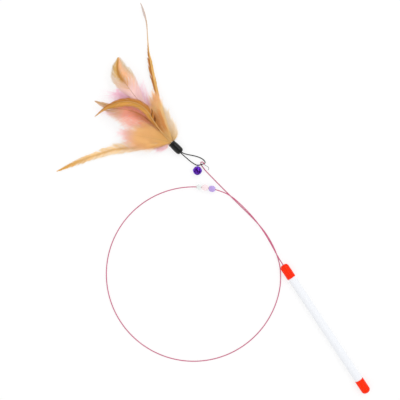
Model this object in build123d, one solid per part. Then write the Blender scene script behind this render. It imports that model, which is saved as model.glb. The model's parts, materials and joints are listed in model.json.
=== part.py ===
from build123d import *

import math
import os

# Cat teaser wand: a capped tube handle, a coated spring wire that leaves it,
# makes one loop and ends in a hook, and a feather lure on a cord lanyard.
# Millimetres. +Y runs along the handle towards the lure, +Z is up, and the
# origin is on the handle's axis, in the middle of the rear cap's straight wall.

# Handle
handle_length = 180.0
tube_diameter = 9.6
tube_wall = 0.8
cap_length = 18.0
cap_wall = 0.5
cap_fit = 0.02
cap_nose = 4.0

# Spring wire
wire_diameter = 1.2
wire_hole_clearance = 0.05
wire_inner_length = 6.0
stop_diameter = 4.0
stop_length = 4.5
stop_fit = 0.02

# Loop of the wire: it lies on its far side and leans on the beads
loop_radius = 103.0
loop_centre = (-93.95, 48.7)
loop_first_angle = 40.0
loop_corners = 19
loop_corner_step = 15.0
loop_high_angle = 48.0

# Hook at the wire's end
hook_radius = 2.7
hook_tilt = 51.0
hook_leg = (-15.2, 151.3)
hook_corners = 4
hook_return = 1.6
tail_diameter = 0.7

# Beads threaded on the loop: diameter, length along the wire, angle on the loop
bead_clearance = 0.5
bead_sides = 6
bead_end_share = 0.62
bead_floor_gap = 0.02
purple_bead_size = (8.4, 7.6, 44.4)
pink_bead_size = (8.2, 7.4, 49.1)
clear_bead_size = (7.4, 5.2, 53.1)

# Lanyard
cord_diameter = 1.1
cord_hook_gap = 0.3
cord_neck_entry = 0.5
cord_neck_run = 2.2
cord_neck_spread = 1.1
cord_strand_gap = 0.14

# Bell
bell_diameter = 10.5
bell_wall = 0.4
bell_seam_width = 0.6
bell_seam_height = 0.25
bell_seam_fit = 0.02
bell_slot = 0.9
bell_slot_reach = 58.0
bell_slot_hole = 1.9
ear_wire = 0.8
ear_clearance = 0.65
ear_set = 0.02
ear_place = (-19.2, 152.7)
ear_height = 2.6
bell_heading = (-0.62, -0.78)
pellet_diameter = 3.0
pellet_gap = 0.05

# End cap of the lure
end_cap_neck = (-27.0, 176.5)
end_cap_heading = (-0.213, 0.977)
end_cap_length = 16.0
end_cap_diameter = 9.5
end_cap_wall = 0.8
end_cap_neck_wall = 2.2
neck_clearance = 0.3
end_cap_shoulder = 2.8
knot_diameter = 4.8
knot_seat_gap = 0.1
glue_set_back = 1.5
glue_fit = 0.02
quill_width = 1.1
quill_thickness = 0.9
quill_clearance = 0.3
quill_end_cover = 1.2
quill_ring = 2.7
quill_core = 0.75

# Share of the shorter run that an arc of a route takes at each corner
arc_share = 0.45

# Solids of revolution stand on their lower end
upright = (Align.CENTER, Align.CENTER, Align.MIN)

# What follows from the driving sizes
tube_radius = tube_diameter / 2
cap_radius = tube_radius + cap_fit + cap_wall
cap_straight = cap_length - cap_nose
tube_length = handle_length - 2 * cap_nose
tube_start = -cap_straight / 2
exit_y = tube_start + tube_length + cap_nose
floor = -cap_radius
wire_radius = wire_diameter / 2
wire_on_floor = floor + wire_radius
cord_radius = cord_diameter / 2
bell_radius = bell_diameter / 2
end_cap_radius = end_cap_diameter / 2
end_cap_inside = end_cap_radius - end_cap_wall
end_cap_neck_hole = 2 * cord_diameter + 2 * neck_clearance
bead_bore = wire_diameter + 2 * bead_clearance
largest_bead = max(purple_bead_size[0], pink_bead_size[0], clear_bead_size[0])
loop_bead_height = floor + bead_floor_gap + largest_bead / 2
ear_bore = cord_diameter + 2 * ear_clearance
quill_hole = quill_width + 2 * quill_clearance


def spot(x, y, z):
    """A point given from the wire's exit, with its height from the handle's axis."""
    return Vector(x, exit_y + y, z)


def along_y(solid, y):
    """Turn a solid made along +Z to run along +Y, starting at y."""
    return Pos(0, y, 0) * Rot(-90, 0, 0) * solid


def tube_along(points, diameter, label):
    """A round tube along straight runs, joined by arcs as large as the runs allow."""
    spots = [Vector(*point) for point in points]
    radii = []
    for before, corner, after in zip(spots, spots[1:], spots[2:]):
        turn = math.radians((corner - before).get_angle(after - corner))
        run = min((corner - before).length, (after - corner).length)
        radii.append(arc_share * run / math.tan(turn / 2))
    path = FilletPolyline(*spots, radius=radii)
    section = Plane(origin=path @ 0, z_dir=path % 0) * Circle(diameter / 2)
    solid = sweep(section, path=path)
    expected = math.pi * (diameter / 2) ** 2 * path.length
    print(label, "length", round(path.length, 1), "volume share", round(solid.volume / expected, 4))
    print(label, "radii", [round(radius, 1) for radius in radii])
    return solid, path


# Handle


def make_handle_tube():
    """The open white tube, seated in both caps."""
    outer = Cylinder(tube_radius, tube_length, align=upright)
    bore = Cylinder(tube_radius - tube_wall, tube_length, align=upright)
    return along_y(outer - bore, tube_start)


def make_cap():
    """A push-on cap along +Z: open end at zero, rounded nose at the far end."""
    body = Cylinder(cap_radius, cap_length, align=upright)
    body = fillet(body.edges().group_by(Axis.Z)[-1], cap_nose)
    socket = Cylinder(tube_radius + cap_fit, cap_straight, align=upright)
    return body - socket


def make_front_cap():
    """The front cap, with the wire's hole through its nose."""
    hole = Cylinder(wire_radius + wire_hole_clearance, cap_length, align=upright)
    return along_y(make_cap() - hole, exit_y - cap_length)


def make_rear_cap():
    """The rear cap, closed, pointing the other way."""
    return Rot(180, 0, 0) * along_y(make_cap(), -cap_straight / 2)


# Spring wire


def loop_height(x, y):
    """Height of the loop's leaning plane above a place given from the wire's exit."""
    high = loop_bead_height
    low = wire_on_floor
    reach = (x - loop_centre[0]) * math.cos(math.radians(loop_high_angle))
    reach += (y - loop_centre[1]) * math.sin(math.radians(loop_high_angle))
    return (high + low) / 2 + (high - low) / 2 * reach / loop_radius


def loop_place(angle, radius):
    """A place on the leaning loop's plane, from the wire's exit."""
    x = loop_centre[0] + radius * math.cos(math.radians(angle))
    y = loop_centre[1] + radius * math.sin(math.radians(angle))
    return x, y, loop_height(x, y)


def wire_points():
    """The coated wire's route: lead, loop, tail and hook, from the stop to the hook's end."""
    lead = [
        (0, 4, 0),
        (0.5, 14, -0.2),
        (1.7, 27, -0.65),
        (2.7, 43, -1.1),
        (2.3, 58.5, -1.4),
        (0.7, 72.5, -1.5),
        (-1.9, 85.5, -1.45),
        (-4.8, 97.2, -1.4),
        (-10.0, 108.9, loop_height(-10.0, 108.9)),
    ]
    half_step = loop_corner_step / 2
    corner_radius = loop_radius / math.cos(math.radians(half_step))
    loop = [
        loop_place(loop_first_angle + half_step + loop_corner_step * corner, corner_radius)
        for corner in range(loop_corners)
    ]
    low = wire_on_floor
    tail = [
        (-4.6, -2.5, low + 1.3),
        (0.6, 12.5, low + 0.4),
        (3.2, 27, low),
        (3.9, 43, low),
        (2.2, 58, low),
        (-0.7, 73, low),
        (-4.0, 88, low),
        (-7.2, 104, low),
        (-10.3, 119, low),
        (-13.0, 133, low),
        (-14.9, 143, low),
        (hook_leg[0], 148, low),
    ]
    start = Vector(0, exit_y - cap_nose - stop_length - wire_inner_length, 0)
    return [start] + [spot(*point) for point in lead + loop + tail] + hook_points()


hook_side = Vector(math.cos(math.radians(hook_tilt)), 0, math.sin(math.radians(hook_tilt)))
hook_start = spot(hook_leg[0], hook_leg[1], wire_on_floor)
hook_centre = hook_start + hook_side * hook_radius
hook_return_end = hook_centre + hook_side * hook_radius - Vector(0, hook_return, 0)


def hook_points():
    """Corners of the hook's half turn, which leans over to the right, and its short return."""
    step = 180 / hook_corners
    reach = hook_radius / math.cos(math.radians(step / 2))
    corners = []
    for corner in range(hook_corners):
        angle = math.radians(step * (corner + 0.5))
        across = hook_side * (-math.cos(angle) * reach)
        corners.append(hook_centre + across + Vector(0, math.sin(angle) * reach, 0))
    return corners + [hook_return_end]


def make_wire():
    """The coated spring wire, one unbroken tube that passes twice over itself."""
    solid, path = tube_along(wire_points(), wire_diameter, "wand_wire")
    samples = 600
    spots = [path.position_at(index / samples) for index in range(samples + 1)]
    skip = 25
    least = min(
        (spots[first] - spots[second]).length
        for first in range(samples)
        for second in range(first + skip, samples + 1)
    )
    print("wand_wire least gap to itself", round(least - wire_diameter, 2))
    return solid


def make_wire_tail():
    """The bare end of the wire's steel core, past the coating."""
    end = hook_return_end
    steps = [
        (0, 0, 0),
        (0, -1.3, 0),
        (0.9, -2.9, -0.7),
        (1.9, -4.9, -1.7),
        (1.7, -6.8, -2.5),
        (0.1, -7.9, -2.9),
    ]
    points = [end + Vector(*step) for step in steps]
    return tube_along(points, tail_diameter, "wire_tail")[0]


def make_wire_stop():
    """The crimped stop on the wire, seated inside the front cap's nose."""
    body = Cylinder(stop_diameter / 2, stop_length, align=upright)
    bore = Cylinder(wire_radius + stop_fit, stop_length, align=upright)
    return along_y(body - bore, exit_y - cap_nose - stop_length)


# Beads


def make_bead(size):
    """A faceted bead on the loop, with its bore along the wire."""
    diameter, length, angle = size
    centre = spot(*loop_place(angle, loop_radius))
    heading = math.radians(angle + 90)
    lie = Plane(origin=centre, x_dir=(0, 0, 1), z_dir=(math.cos(heading), math.sin(heading), 0))
    waist = diameter / 2
    end = waist * bead_end_share
    belt = length / 6
    sections = [(-length / 2, end), (-belt, waist), (belt, waist), (length / 2, end)]
    outlines = [
        Pos(0, 0, place) * RegularPolygon(radius, bead_sides, major_radius=True)
        for place, radius in sections
    ]
    body = loft(outlines, ruled=True)
    return lie * (body - Cylinder(bead_bore / 2, length * 2))


# Lanyard


def lanyard_points():
    """The cord's route: from the end cap's neck through the bell's ear and the hook, and back."""
    low = floor + cord_radius
    over = hook_centre.Z
    line_y = hook_leg[1] + hook_radius - wire_radius - cord_radius - cord_hook_gap
    strand = (cord_diameter + cord_strand_gap) / 2
    neck_side = Vector(end_cap_heading[1], -end_cap_heading[0], 0) * strand
    first = [
        (-25.7, 169.0, low + 2.4),
        (-23.9, 162.5, low + 0.7),
        (-21.9, 157.3, low + 0.9),
        (ear_place[0] - 0.25, ear_place[1] + 0.35, ear_height + floor - 0.1),
        (-16.6, line_y, over + 0.25),
    ]
    second = [
        (-10.2, line_y, over - 0.25),
        (-9.2, 154.6, low + 0.9),
        (-10.6, 158.0, low + 0.2),
        (-13.8, 162.2, low),
        (-17.8, 166.4, low + 0.3),
        (-21.8, 170.2, low + 1.6),
    ]
    inside = neck_spot + neck_way * cord_neck_entry
    outside = neck_spot - neck_way * cord_neck_run
    points = [inside - neck_side, outside - neck_side * cord_neck_spread]
    points += [spot(*point) for point in first + second]
    return points + [outside + neck_side * cord_neck_spread, inside + neck_side]


neck_way = Vector(end_cap_heading[0], end_cap_heading[1], 0).normalized()
neck_spot = spot(end_cap_neck[0], end_cap_neck[1], floor + end_cap_radius)
mouth_spot = neck_spot + neck_way * end_cap_length


def make_lanyard():
    """The black cord loop between the lure and the hook."""
    return tube_along(lanyard_points(), cord_diameter, "lanyard_cord")[0]


# Bell, made along +Z with its ear at the top, then laid down


ear_spot = spot(ear_place[0], ear_place[1], floor + ear_height)
ear_reach = bell_radius + ear_bore / 2
bell_rise = bell_radius - ear_height
bell_run = math.sqrt(ear_reach**2 - bell_rise**2)
bell_centre = ear_spot + Vector(*bell_heading).normalized() * bell_run + Vector(0, 0, bell_rise)
ear_way = (ear_spot - bell_centre).normalized()
bell_lie = Plane(origin=bell_centre, x_dir=Vector(*bell_heading).cross(Vector(0, 0, 1)), z_dir=ear_way)


def half_shell(upper):
    """One hollow half of the bell."""
    shell = Sphere(bell_radius) - Sphere(bell_radius - bell_wall)
    align = (Align.CENTER, Align.CENTER, Align.MIN if upper else Align.MAX)
    return shell & Box(bell_diameter * 2, bell_diameter * 2, bell_diameter * 2, align=align)


def make_bell_crown():
    """The bell's upper half, with the seam band that laps over the lower half."""
    band = Cylinder(bell_radius + bell_seam_height, 2 * bell_seam_width)
    band -= Sphere(bell_radius + bell_seam_fit)
    upper_band = Cylinder(bell_radius + bell_seam_height, bell_seam_width, align=upright)
    upper_band -= Sphere(bell_radius - bell_wall / 2)
    return bell_lie * (half_shell(True) + upper_band + band)


def make_bell_cup():
    """The bell's lower half, with crossed slots that end in round holes."""
    cup = half_shell(False)
    reach = bell_radius * math.sin(math.radians(bell_slot_reach))
    for turn in (45, 135):
        slot = Box(2 * reach, bell_slot, bell_diameter, align=(Align.CENTER, Align.CENTER, Align.MAX))
        cup -= Rot(0, 0, turn) * slot
    for turn in (45, 135, 225, 315):
        hole = Cylinder(bell_slot_hole / 2, bell_diameter, align=upright)
        cup -= Rot(0, 0, turn) * Rot(0, 180 - bell_slot_reach, 0) * hole
    return bell_lie * cup


def make_bell_ear():
    """The wire ear on the bell's crown, round the lanyard."""
    ring = Torus((ear_bore + ear_wire) / 2, ear_wire / 2)
    ring = Pos(0, 0, ear_reach) * Rot(0, 90, 0) * ring
    return bell_lie * (ring - Sphere(bell_radius + ear_set))


pellet_drop = bell_radius - bell_wall - pellet_diameter / 2 - pellet_gap


def make_pellet():
    """The loose ball that rattles in the bell."""
    return Pos(*(bell_centre - Vector(0, 0, pellet_drop))) * Sphere(pellet_diameter / 2)


# End cap of the lure, made along +Z from its neck to its mouth, then laid down


end_cap_lie = Plane(origin=neck_spot, x_dir=(neck_way.Y, -neck_way.X, 0), z_dir=neck_way)
knot_depth = end_cap_neck_wall + knot_seat_gap
glue_depth = knot_depth + knot_diameter + knot_seat_gap
glue_length = end_cap_length - glue_set_back - glue_depth
quill_depth = end_cap_length - glue_depth - quill_end_cover


def make_end_cap():
    """The black cup that gathers the quills, with the lanyard's hole in its neck."""
    body = Cylinder(end_cap_radius, end_cap_length, align=upright)
    body = fillet(body.edges().group_by(Axis.Z)[0], end_cap_shoulder)
    inside = Pos(0, 0, end_cap_neck_wall) * Cylinder(
        end_cap_inside, end_cap_length, align=upright
    )
    inside = fillet(inside.edges().group_by(Axis.Z)[0], end_cap_shoulder - end_cap_wall)
    return end_cap_lie * (body - inside - Cylinder(end_cap_neck_hole / 2, end_cap_length))


def make_knot():
    """The lanyard's tied ends, caught behind the end cap's neck."""
    return end_cap_lie * Pos(0, 0, knot_depth + knot_diameter / 2) * Sphere(knot_diameter / 2)


def make_glue():
    """The glue that fills the end cap round the quills."""
    plug = Cylinder(end_cap_inside - glue_fit, glue_length, align=upright)
    for quill_angle, quill_reach in quill_seats.values():
        hole = Cylinder(quill_hole / 2, glue_length, align=upright)
        across = quill_reach * math.cos(math.radians(quill_angle))
        plug -= Pos(across, -quill_reach * math.sin(math.radians(quill_angle)), 0) * hole
    return end_cap_lie * Pos(0, 0, glue_depth) * plug


# Feathers: each has a seat in the end cap's mouth, as an angle and a distance from
# the axis, and stations: place from the mouth, height from the floor, width, thickness

quill_seats = {
    "arched_feather": (90, quill_ring),
    "gold_down": (45, quill_ring),
    "long_feather": (5, quill_ring),
    "cream_down": (-40, quill_ring),
    "pink_down": (-88, quill_ring),
    "low_feather": (-135, quill_ring),
    "rose_down": (180, quill_ring),
    "peach_down": (135, quill_ring),
    "broad_feather": (60, quill_core),
    "salmon_feather": (-150, quill_core),
}

feather_stations = {
    "arched_feather": [
        (-3.5, 19.0, 12.0, 4.0, 1.8),
        (-1.2, 38.0, 16.0, 8.0, 2.0),
        (-3.2, 53.0, 18.5, 9.0, 2.0),
        (-12.5, 69.0, 20.0, 9.5, 2.0),
        (-27.0, 76.5, 19.5, 9.5, 2.0),
        (-42.0, 77.5, 17.5, 7.5, 1.8),
        (-60.0, 75.5, 14.0, 1.6, 1.0),
    ],
    "gold_down": [
        (6.0, 18.0, 9.0, 8.0, 4.0),
        (10.0, 36.0, 10.0, 14.0, 5.5),
        (14.0, 52.0, 10.0, 12.0, 5.0),
        (17.0, 66.0, 9.0, 3.0, 2.0),
    ],
    "long_feather": [
        (8.0, 24.0, 4.8, 2.6, 1.2),
        (14.0, 46.0, 4.6, 4.0, 1.4),
        (18.6, 62.0, 4.6, 5.5, 1.5),
        (27.8, 85.0, 4.8, 5.0, 1.4),
        (38.8, 110.0, 5.0, 3.0, 1.2),
        (48.8, 134.0, 4.8, 1.8, 1.0),
        (60.9, 159.1, 4.5, 1.2, 0.8),
    ],
    "cream_down": [
        (9.0, 13.0, 3.0, 6.0, 2.4),
        (15.0, 26.0, 3.0, 10.0, 3.6),
        (19.5, 38.0, 2.8, 3.0, 1.8),
    ],
    "pink_down": [
        (-2.6, 23.0, 3.2, 9.0, 3.0),
        (-7.6, 53.0, 3.8, 26.0, 5.0),
        (-12.2, 74.0, 4.0, 42.0, 6.0),
        (-15.0, 88.0, 4.0, 34.0, 5.0),
        (-17.0, 100.0, 3.5, 8.0, 2.5),
    ],
    "low_feather": [
        (-21.0, 14.0, 2.6, 4.5, 1.5),
        (-36.0, 23.0, 2.5, 8.0, 1.8),
        (-50.0, 30.0, 2.4, 10.5, 2.0),
        (-67.5, 35.5, 2.2, 10.5, 2.0),
        (-89.4, 40.5, 2.2, 7.0, 1.6),
        (-112.0, 44.5, 1.9, 4.0, 1.2),
        (-132.9, 47.2, 1.6, 1.4, 0.8),
    ],
    "rose_down": [
        (-8.5, 6.0, 5.6, 4.0, 2.2),
        (-16.0, 5.0, 5.6, 8.0, 3.0),
        (-23.5, 2.0, 5.2, 2.5, 1.6),
    ],
    "peach_down": [
        (-10.0, 10.5, 9.6, 7.0, 3.0),
        (-22.0, 20.0, 13.0, 18.0, 5.0),
        (-36.0, 31.0, 14.5, 25.0, 6.0),
        (-46.0, 39.5, 14.2, 18.0, 4.5),
        (-54.0, 46.0, 13.6, 4.0, 2.0),
    ],
    "broad_feather": [
        (-1.5, 20.0, 8.4, 2.4, 1.4),
        (-2.8, 40.0, 10.0, 3.0, 1.4),
        (-5.4, 68.0, 11.4, 6.0, 1.6),
        (-7.0, 83.0, 12.4, 20.0, 2.0),
        (-6.6, 95.0, 13.0, 26.5, 2.2),
        (-2.8, 107.0, 12.6, 19.0, 2.0),
        (4.3, 118.8, 11.4, 2.0, 1.0),
    ],
    "salmon_feather": [
        (-8.0, 20.0, 7.0, 4.0, 1.6),
        (-18.0, 38.0, 8.4, 19.0, 2.4),
        (-29.0, 54.0, 9.0, 32.0, 3.0),
        (-39.0, 70.0, 9.0, 26.0, 2.6),
        (-45.0, 82.0, 8.6, 11.0, 1.8),
        (-48.6, 91.4, 8.2, 1.6, 1.0),
    ],
}


def lens(centre, way, width, thickness):
    """A flat lens across a feather's line: two arcs, edge to edge."""
    side = way.cross(Vector(0, 0, 1)).normalized() * (width / 2)
    lift = side.cross(way).normalized() * (thickness / 2)
    upper = ThreePointArc(centre - side, centre + lift, centre + side)
    lower = ThreePointArc(centre + side, centre - lift, centre - side)
    return Face(Wire([upper, lower]))


def make_feather(name):
    """One feather: a straight quill in the glue, then a vane or a tuft of down."""
    angle, reach = quill_seats[name]
    across = Vector(neck_way.Y, -neck_way.X, 0) * (reach * math.cos(math.radians(angle)))
    seat = mouth_spot + across + Vector(0, 0, reach * math.sin(math.radians(angle)))
    spots = [seat - neck_way * quill_depth, seat]
    sizes = [(quill_width, quill_thickness)] * 2
    for x, y, height, width, thickness in feather_stations[name]:
        spots.append(Vector(mouth_spot.X + x, mouth_spot.Y + y, floor + height))
        sizes.append((width, thickness))
    outlines = []
    for index, (centre, size) in enumerate(zip(spots, sizes)):
        before = spots[max(index - 1, 0)]
        after = spots[min(index + 1, len(spots) - 1)]
        way = neck_way if index < 2 else (after - before).normalized()
        outlines.append(lens(centre, way, *size))
    return loft(outlines, ruled=True)


nodes = {
    "handle_tube": make_handle_tube(),
    "front_cap": make_front_cap(),
    "rear_cap": make_rear_cap(),
    "wand_wire": make_wire(),
    "wire_tail": make_wire_tail(),
    "wire_stop": make_wire_stop(),
    "purple_bead": make_bead(purple_bead_size),
    "pink_bead": make_bead(pink_bead_size),
    "clear_bead": make_bead(clear_bead_size),
    "lanyard_cord": make_lanyard(),
    "lanyard_knot": make_knot(),
    "bell_crown": make_bell_crown(),
    "bell_cup": make_bell_cup(),
    "bell_ear": make_bell_ear(),
    "bell_pellet": make_pellet(),
    "end_cap": make_end_cap(),
    "quill_glue": make_glue(),
}
for feather_name in quill_seats:
    nodes[feather_name] = make_feather(feather_name)

os.makedirs("parts", exist_ok=True)
for node_name, node_solid in nodes.items():
    export_step(node_solid, f"parts/{node_name}.step")
print("hook pivot", [round(value, 3) for value in hook_centre + Vector(0, hook_radius, 0)])
print("ear", [round(value, 3) for value in ear_spot], "bell", [round(value, 3) for value in bell_centre])
print("bell axis", [round(value, 4) for value in ear_way])
print("neck", [round(value, 3) for value in neck_spot], "mouth", [round(value, 3) for value in mouth_spot])
print("loop centre", [round(value, 3) for value in spot(*loop_centre, loop_height(*loop_centre))])
lean = (loop_bead_height - wire_on_floor) / 2 / loop_radius
lean_way = math.radians(loop_high_angle)
loop_axis = Vector(-lean * math.cos(lean_way), -lean * math.sin(lean_way), 1).normalized()
print("loop axis", [round(value, 6) for value in loop_axis])
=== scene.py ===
"""Cat teaser wand: finishes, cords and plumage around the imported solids."""
import json
import logging
import math
from abc import ABC, abstractmethod
from dataclasses import dataclass, field
from enum import Enum
from typing import Sequence

import bpy
import numpy as np
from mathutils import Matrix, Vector


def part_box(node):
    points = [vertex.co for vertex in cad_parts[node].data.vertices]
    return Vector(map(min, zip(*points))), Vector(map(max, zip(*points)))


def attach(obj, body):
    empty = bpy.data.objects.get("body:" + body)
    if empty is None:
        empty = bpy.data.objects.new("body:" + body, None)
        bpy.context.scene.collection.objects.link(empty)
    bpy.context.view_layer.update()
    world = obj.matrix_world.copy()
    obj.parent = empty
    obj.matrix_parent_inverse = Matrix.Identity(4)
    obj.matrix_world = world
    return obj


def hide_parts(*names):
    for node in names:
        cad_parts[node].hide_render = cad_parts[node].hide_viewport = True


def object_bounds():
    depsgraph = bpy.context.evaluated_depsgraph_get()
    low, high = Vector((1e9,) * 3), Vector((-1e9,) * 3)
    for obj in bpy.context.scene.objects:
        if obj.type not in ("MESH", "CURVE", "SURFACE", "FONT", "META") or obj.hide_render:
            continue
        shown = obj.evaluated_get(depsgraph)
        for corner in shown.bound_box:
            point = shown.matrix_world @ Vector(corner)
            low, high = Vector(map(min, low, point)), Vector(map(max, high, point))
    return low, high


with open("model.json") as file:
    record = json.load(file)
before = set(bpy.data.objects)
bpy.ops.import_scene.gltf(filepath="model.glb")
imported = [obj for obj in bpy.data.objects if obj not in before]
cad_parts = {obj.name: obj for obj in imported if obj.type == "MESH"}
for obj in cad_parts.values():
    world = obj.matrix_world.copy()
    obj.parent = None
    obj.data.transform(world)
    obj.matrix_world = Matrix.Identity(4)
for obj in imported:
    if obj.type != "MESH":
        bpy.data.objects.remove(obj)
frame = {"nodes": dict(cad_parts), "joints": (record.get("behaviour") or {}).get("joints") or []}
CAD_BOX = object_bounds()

LOG = logging.getLogger("teaser_wand")
MM = 0.001
FLOOR = CAD_BOX[0].z
FLOOR_MM = FLOOR / MM
UP = (0.0, 0.0, 1.0)
WHITE = (1.0, 1.0, 1.0, 1.0)
BLACK = (0.0, 0.0, 0.0, 1.0)
PLUMAGE_MAP = "OFBake"
CURVE_ORDER = 3
CURVE_STEPS = 10
ROUND_STEPS = 4
TUBE_HINT = (0.3, 0.2, 1.0)
TINY = 1e-12

Colour = tuple[float, float, float, float]
Point = tuple[float, float, float]
Pair = tuple[float, float]
Faces = list[tuple[int, ...]]


def tone(red: int, green: int, blue: int) -> Colour:
    """Turn a colour as a screen shows it into the shader's linear colour.

    Args:
        red: Red from 0 to 255.
        green: Green from 0 to 255.
        blue: Blue from 0 to 255.

    Returns:
        The linear colour with full opacity.
    """
    def linear(level: int) -> float:
        """Undo the screen's curve for one channel."""
        share = level / 255
        return share / 12.92 if share <= 0.04045 else ((share + 0.055) / 1.055) ** 2.4

    return (linear(red), linear(green), linear(blue), 1.0)


def between(ends: Pair, share: np.ndarray) -> np.ndarray:
    """Go from the first of two values to the second by a share."""
    return ends[0] + (ends[1] - ends[0]) * share


def joint(name: str) -> dict:
    """Find one joint of the frame by name."""
    return next(row for row in frame["joints"] if row["name"] == name)


def lure_neck() -> tuple[Vector, Vector]:
    """Find where the lanyard enters the lure.

    Returns:
        The neck's place, in millimetres, and the way into the end cap.
    """
    nod = joint("lure_nod")
    axis = Vector(nod["axis"])
    return Vector(nod["pos_m"]) / MM, Vector((-axis.y, axis.x, 0.0)).normalized()


class Slot(Enum):
    """Material slots of the record, which the plumage finishes name."""

    WIRE = "wire_coating_pink"
    CORD = "cord_black"
    END_CAP = "end_cap_black"
    GOLD_BROWN = "feather_gold_brown"
    GOLD = "feather_gold"
    PEACH_BROWN = "feather_peach_brown"
    SALMON = "feather_salmon"
    DOWN_GOLD = "down_gold"
    DOWN_CREAM = "down_cream"
    DOWN_PINK = "down_pink"
    DOWN_ROSE = "down_rose"
    DOWN_PEACH = "down_peach"


class Flank(Enum):
    """Sides of a feather, seen from above with its tip ahead."""

    LEFT = -1.0
    RIGHT = 1.0


# Shader building


class NodeSketch:
    """Adds and links the nodes of one shader tree."""

    # Sockets of the mix node that are for colours
    MIX_SHARE = 0
    MIX_FIRST = 6
    MIX_SECOND = 7
    MIX_RESULT = 2

    def __init__(self, tree: bpy.types.NodeTree) -> None:
        """Keep the material's, world's or group's tree that the nodes go into."""
        self.tree = tree

    def add(self, kind: str, **settings: object) -> bpy.types.Node:
        """Add a node and set its properties.

        Args:
            kind: The node's type name.
            settings: Properties of the node and their values.

        Returns:
            The new node.
        """
        node = self.tree.nodes.new(kind)
        for name, value in settings.items():
            setattr(node, name, value)
        return node

    def join(self, source: bpy.types.NodeSocket, target: bpy.types.NodeSocket) -> None:
        """Link one socket to another."""
        self.tree.links.new(source, target)

    def feed(self, target: bpy.types.NodeSocket, value: object) -> None:
        """Give a socket a link or a plain value.

        Args:
            target: The input socket.
            value: A socket to link, or the value to set.
        """
        if isinstance(value, bpy.types.NodeSocket):
            self.join(value, target)
        else:
            target.default_value = value

    def fill(self, node: bpy.types.Node, values: dict[str, object]) -> None:
        """Give several inputs of a node their links or plain values, by name."""
        for label, value in values.items():
            self.feed(node.inputs[label], value)

    def calc(self, operation: str, first: object, second: object) -> bpy.types.NodeSocket:
        """Add a math node.

        Args:
            operation: The node's operation.
            first: First input, a socket or a number.
            second: Second input, a socket or a number.

        Returns:
            The result's socket.
        """
        node = self.add("ShaderNodeMath", operation=operation)
        self.feed(node.inputs[0], first)
        self.feed(node.inputs[1], second)
        return node.outputs[0]

    def product(self, first: object, *others: object) -> bpy.types.NodeSocket:
        """Multiply values in turn.

        Args:
            first: First factor, a socket or a number.
            others: The other factors.

        Returns:
            The product's socket.
        """
        result = first
        for other in others:
            result = self.calc("MULTIPLY", result, other)
        return result

    def rest(self, share: object) -> bpy.types.NodeSocket:
        """Give what a share leaves of one."""
        return self.calc("SUBTRACT", 1.0, share)

    def ramp(self, value: object, low: object, high: object) -> bpy.types.NodeSocket:
        """Map a value smoothly from a stretch to nought and one.

        Args:
            value: The value's socket.
            low: Where the result is nought.
            high: Where the result is one.

        Returns:
            The mapped value's socket.
        """
        node = self.add("ShaderNodeMapRange", interpolation_type="SMOOTHSTEP")
        self.fill(node, {"Value": value, "From Min": low, "From Max": high})
        return node.outputs["Result"]

    def fade(self, value: object, start: object, length: float) -> bpy.types.NodeSocket:
        """Map a value smoothly from nought to one over a length from its start."""
        return self.ramp(value, start, self.calc("ADD", start, length))

    def blend(self, share: object, first: object, second: object) -> bpy.types.NodeSocket:
        """Mix two colours.

        Args:
            share: How much of the second colour, a socket or a number.
            first: First colour.
            second: Second colour.

        Returns:
            The mixed colour's socket.
        """
        node = self.add("ShaderNodeMix", data_type="RGBA", blend_type="MIX")
        self.feed(node.inputs[self.MIX_SHARE], share)
        self.feed(node.inputs[self.MIX_FIRST], first)
        self.feed(node.inputs[self.MIX_SECOND], second)
        return node.outputs[self.MIX_RESULT]

    def cover(self, share: object, under: bpy.types.Node, over: bpy.types.Node) -> None:
        """Lay one shader over another and give the mix to the material's surface.

        Args:
            share: How much of the upper shader, a socket or a number.
            under: The lower shader's node.
            over: The upper shader's node.
        """
        mix = self.add("ShaderNodeMixShader")
        for place, value in enumerate((share, under.outputs[0], over.outputs[0])):
            self.feed(mix.inputs[place], value)
        self.fill(self.tree.nodes["Material Output"], {"Surface": mix.outputs[0]})


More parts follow.
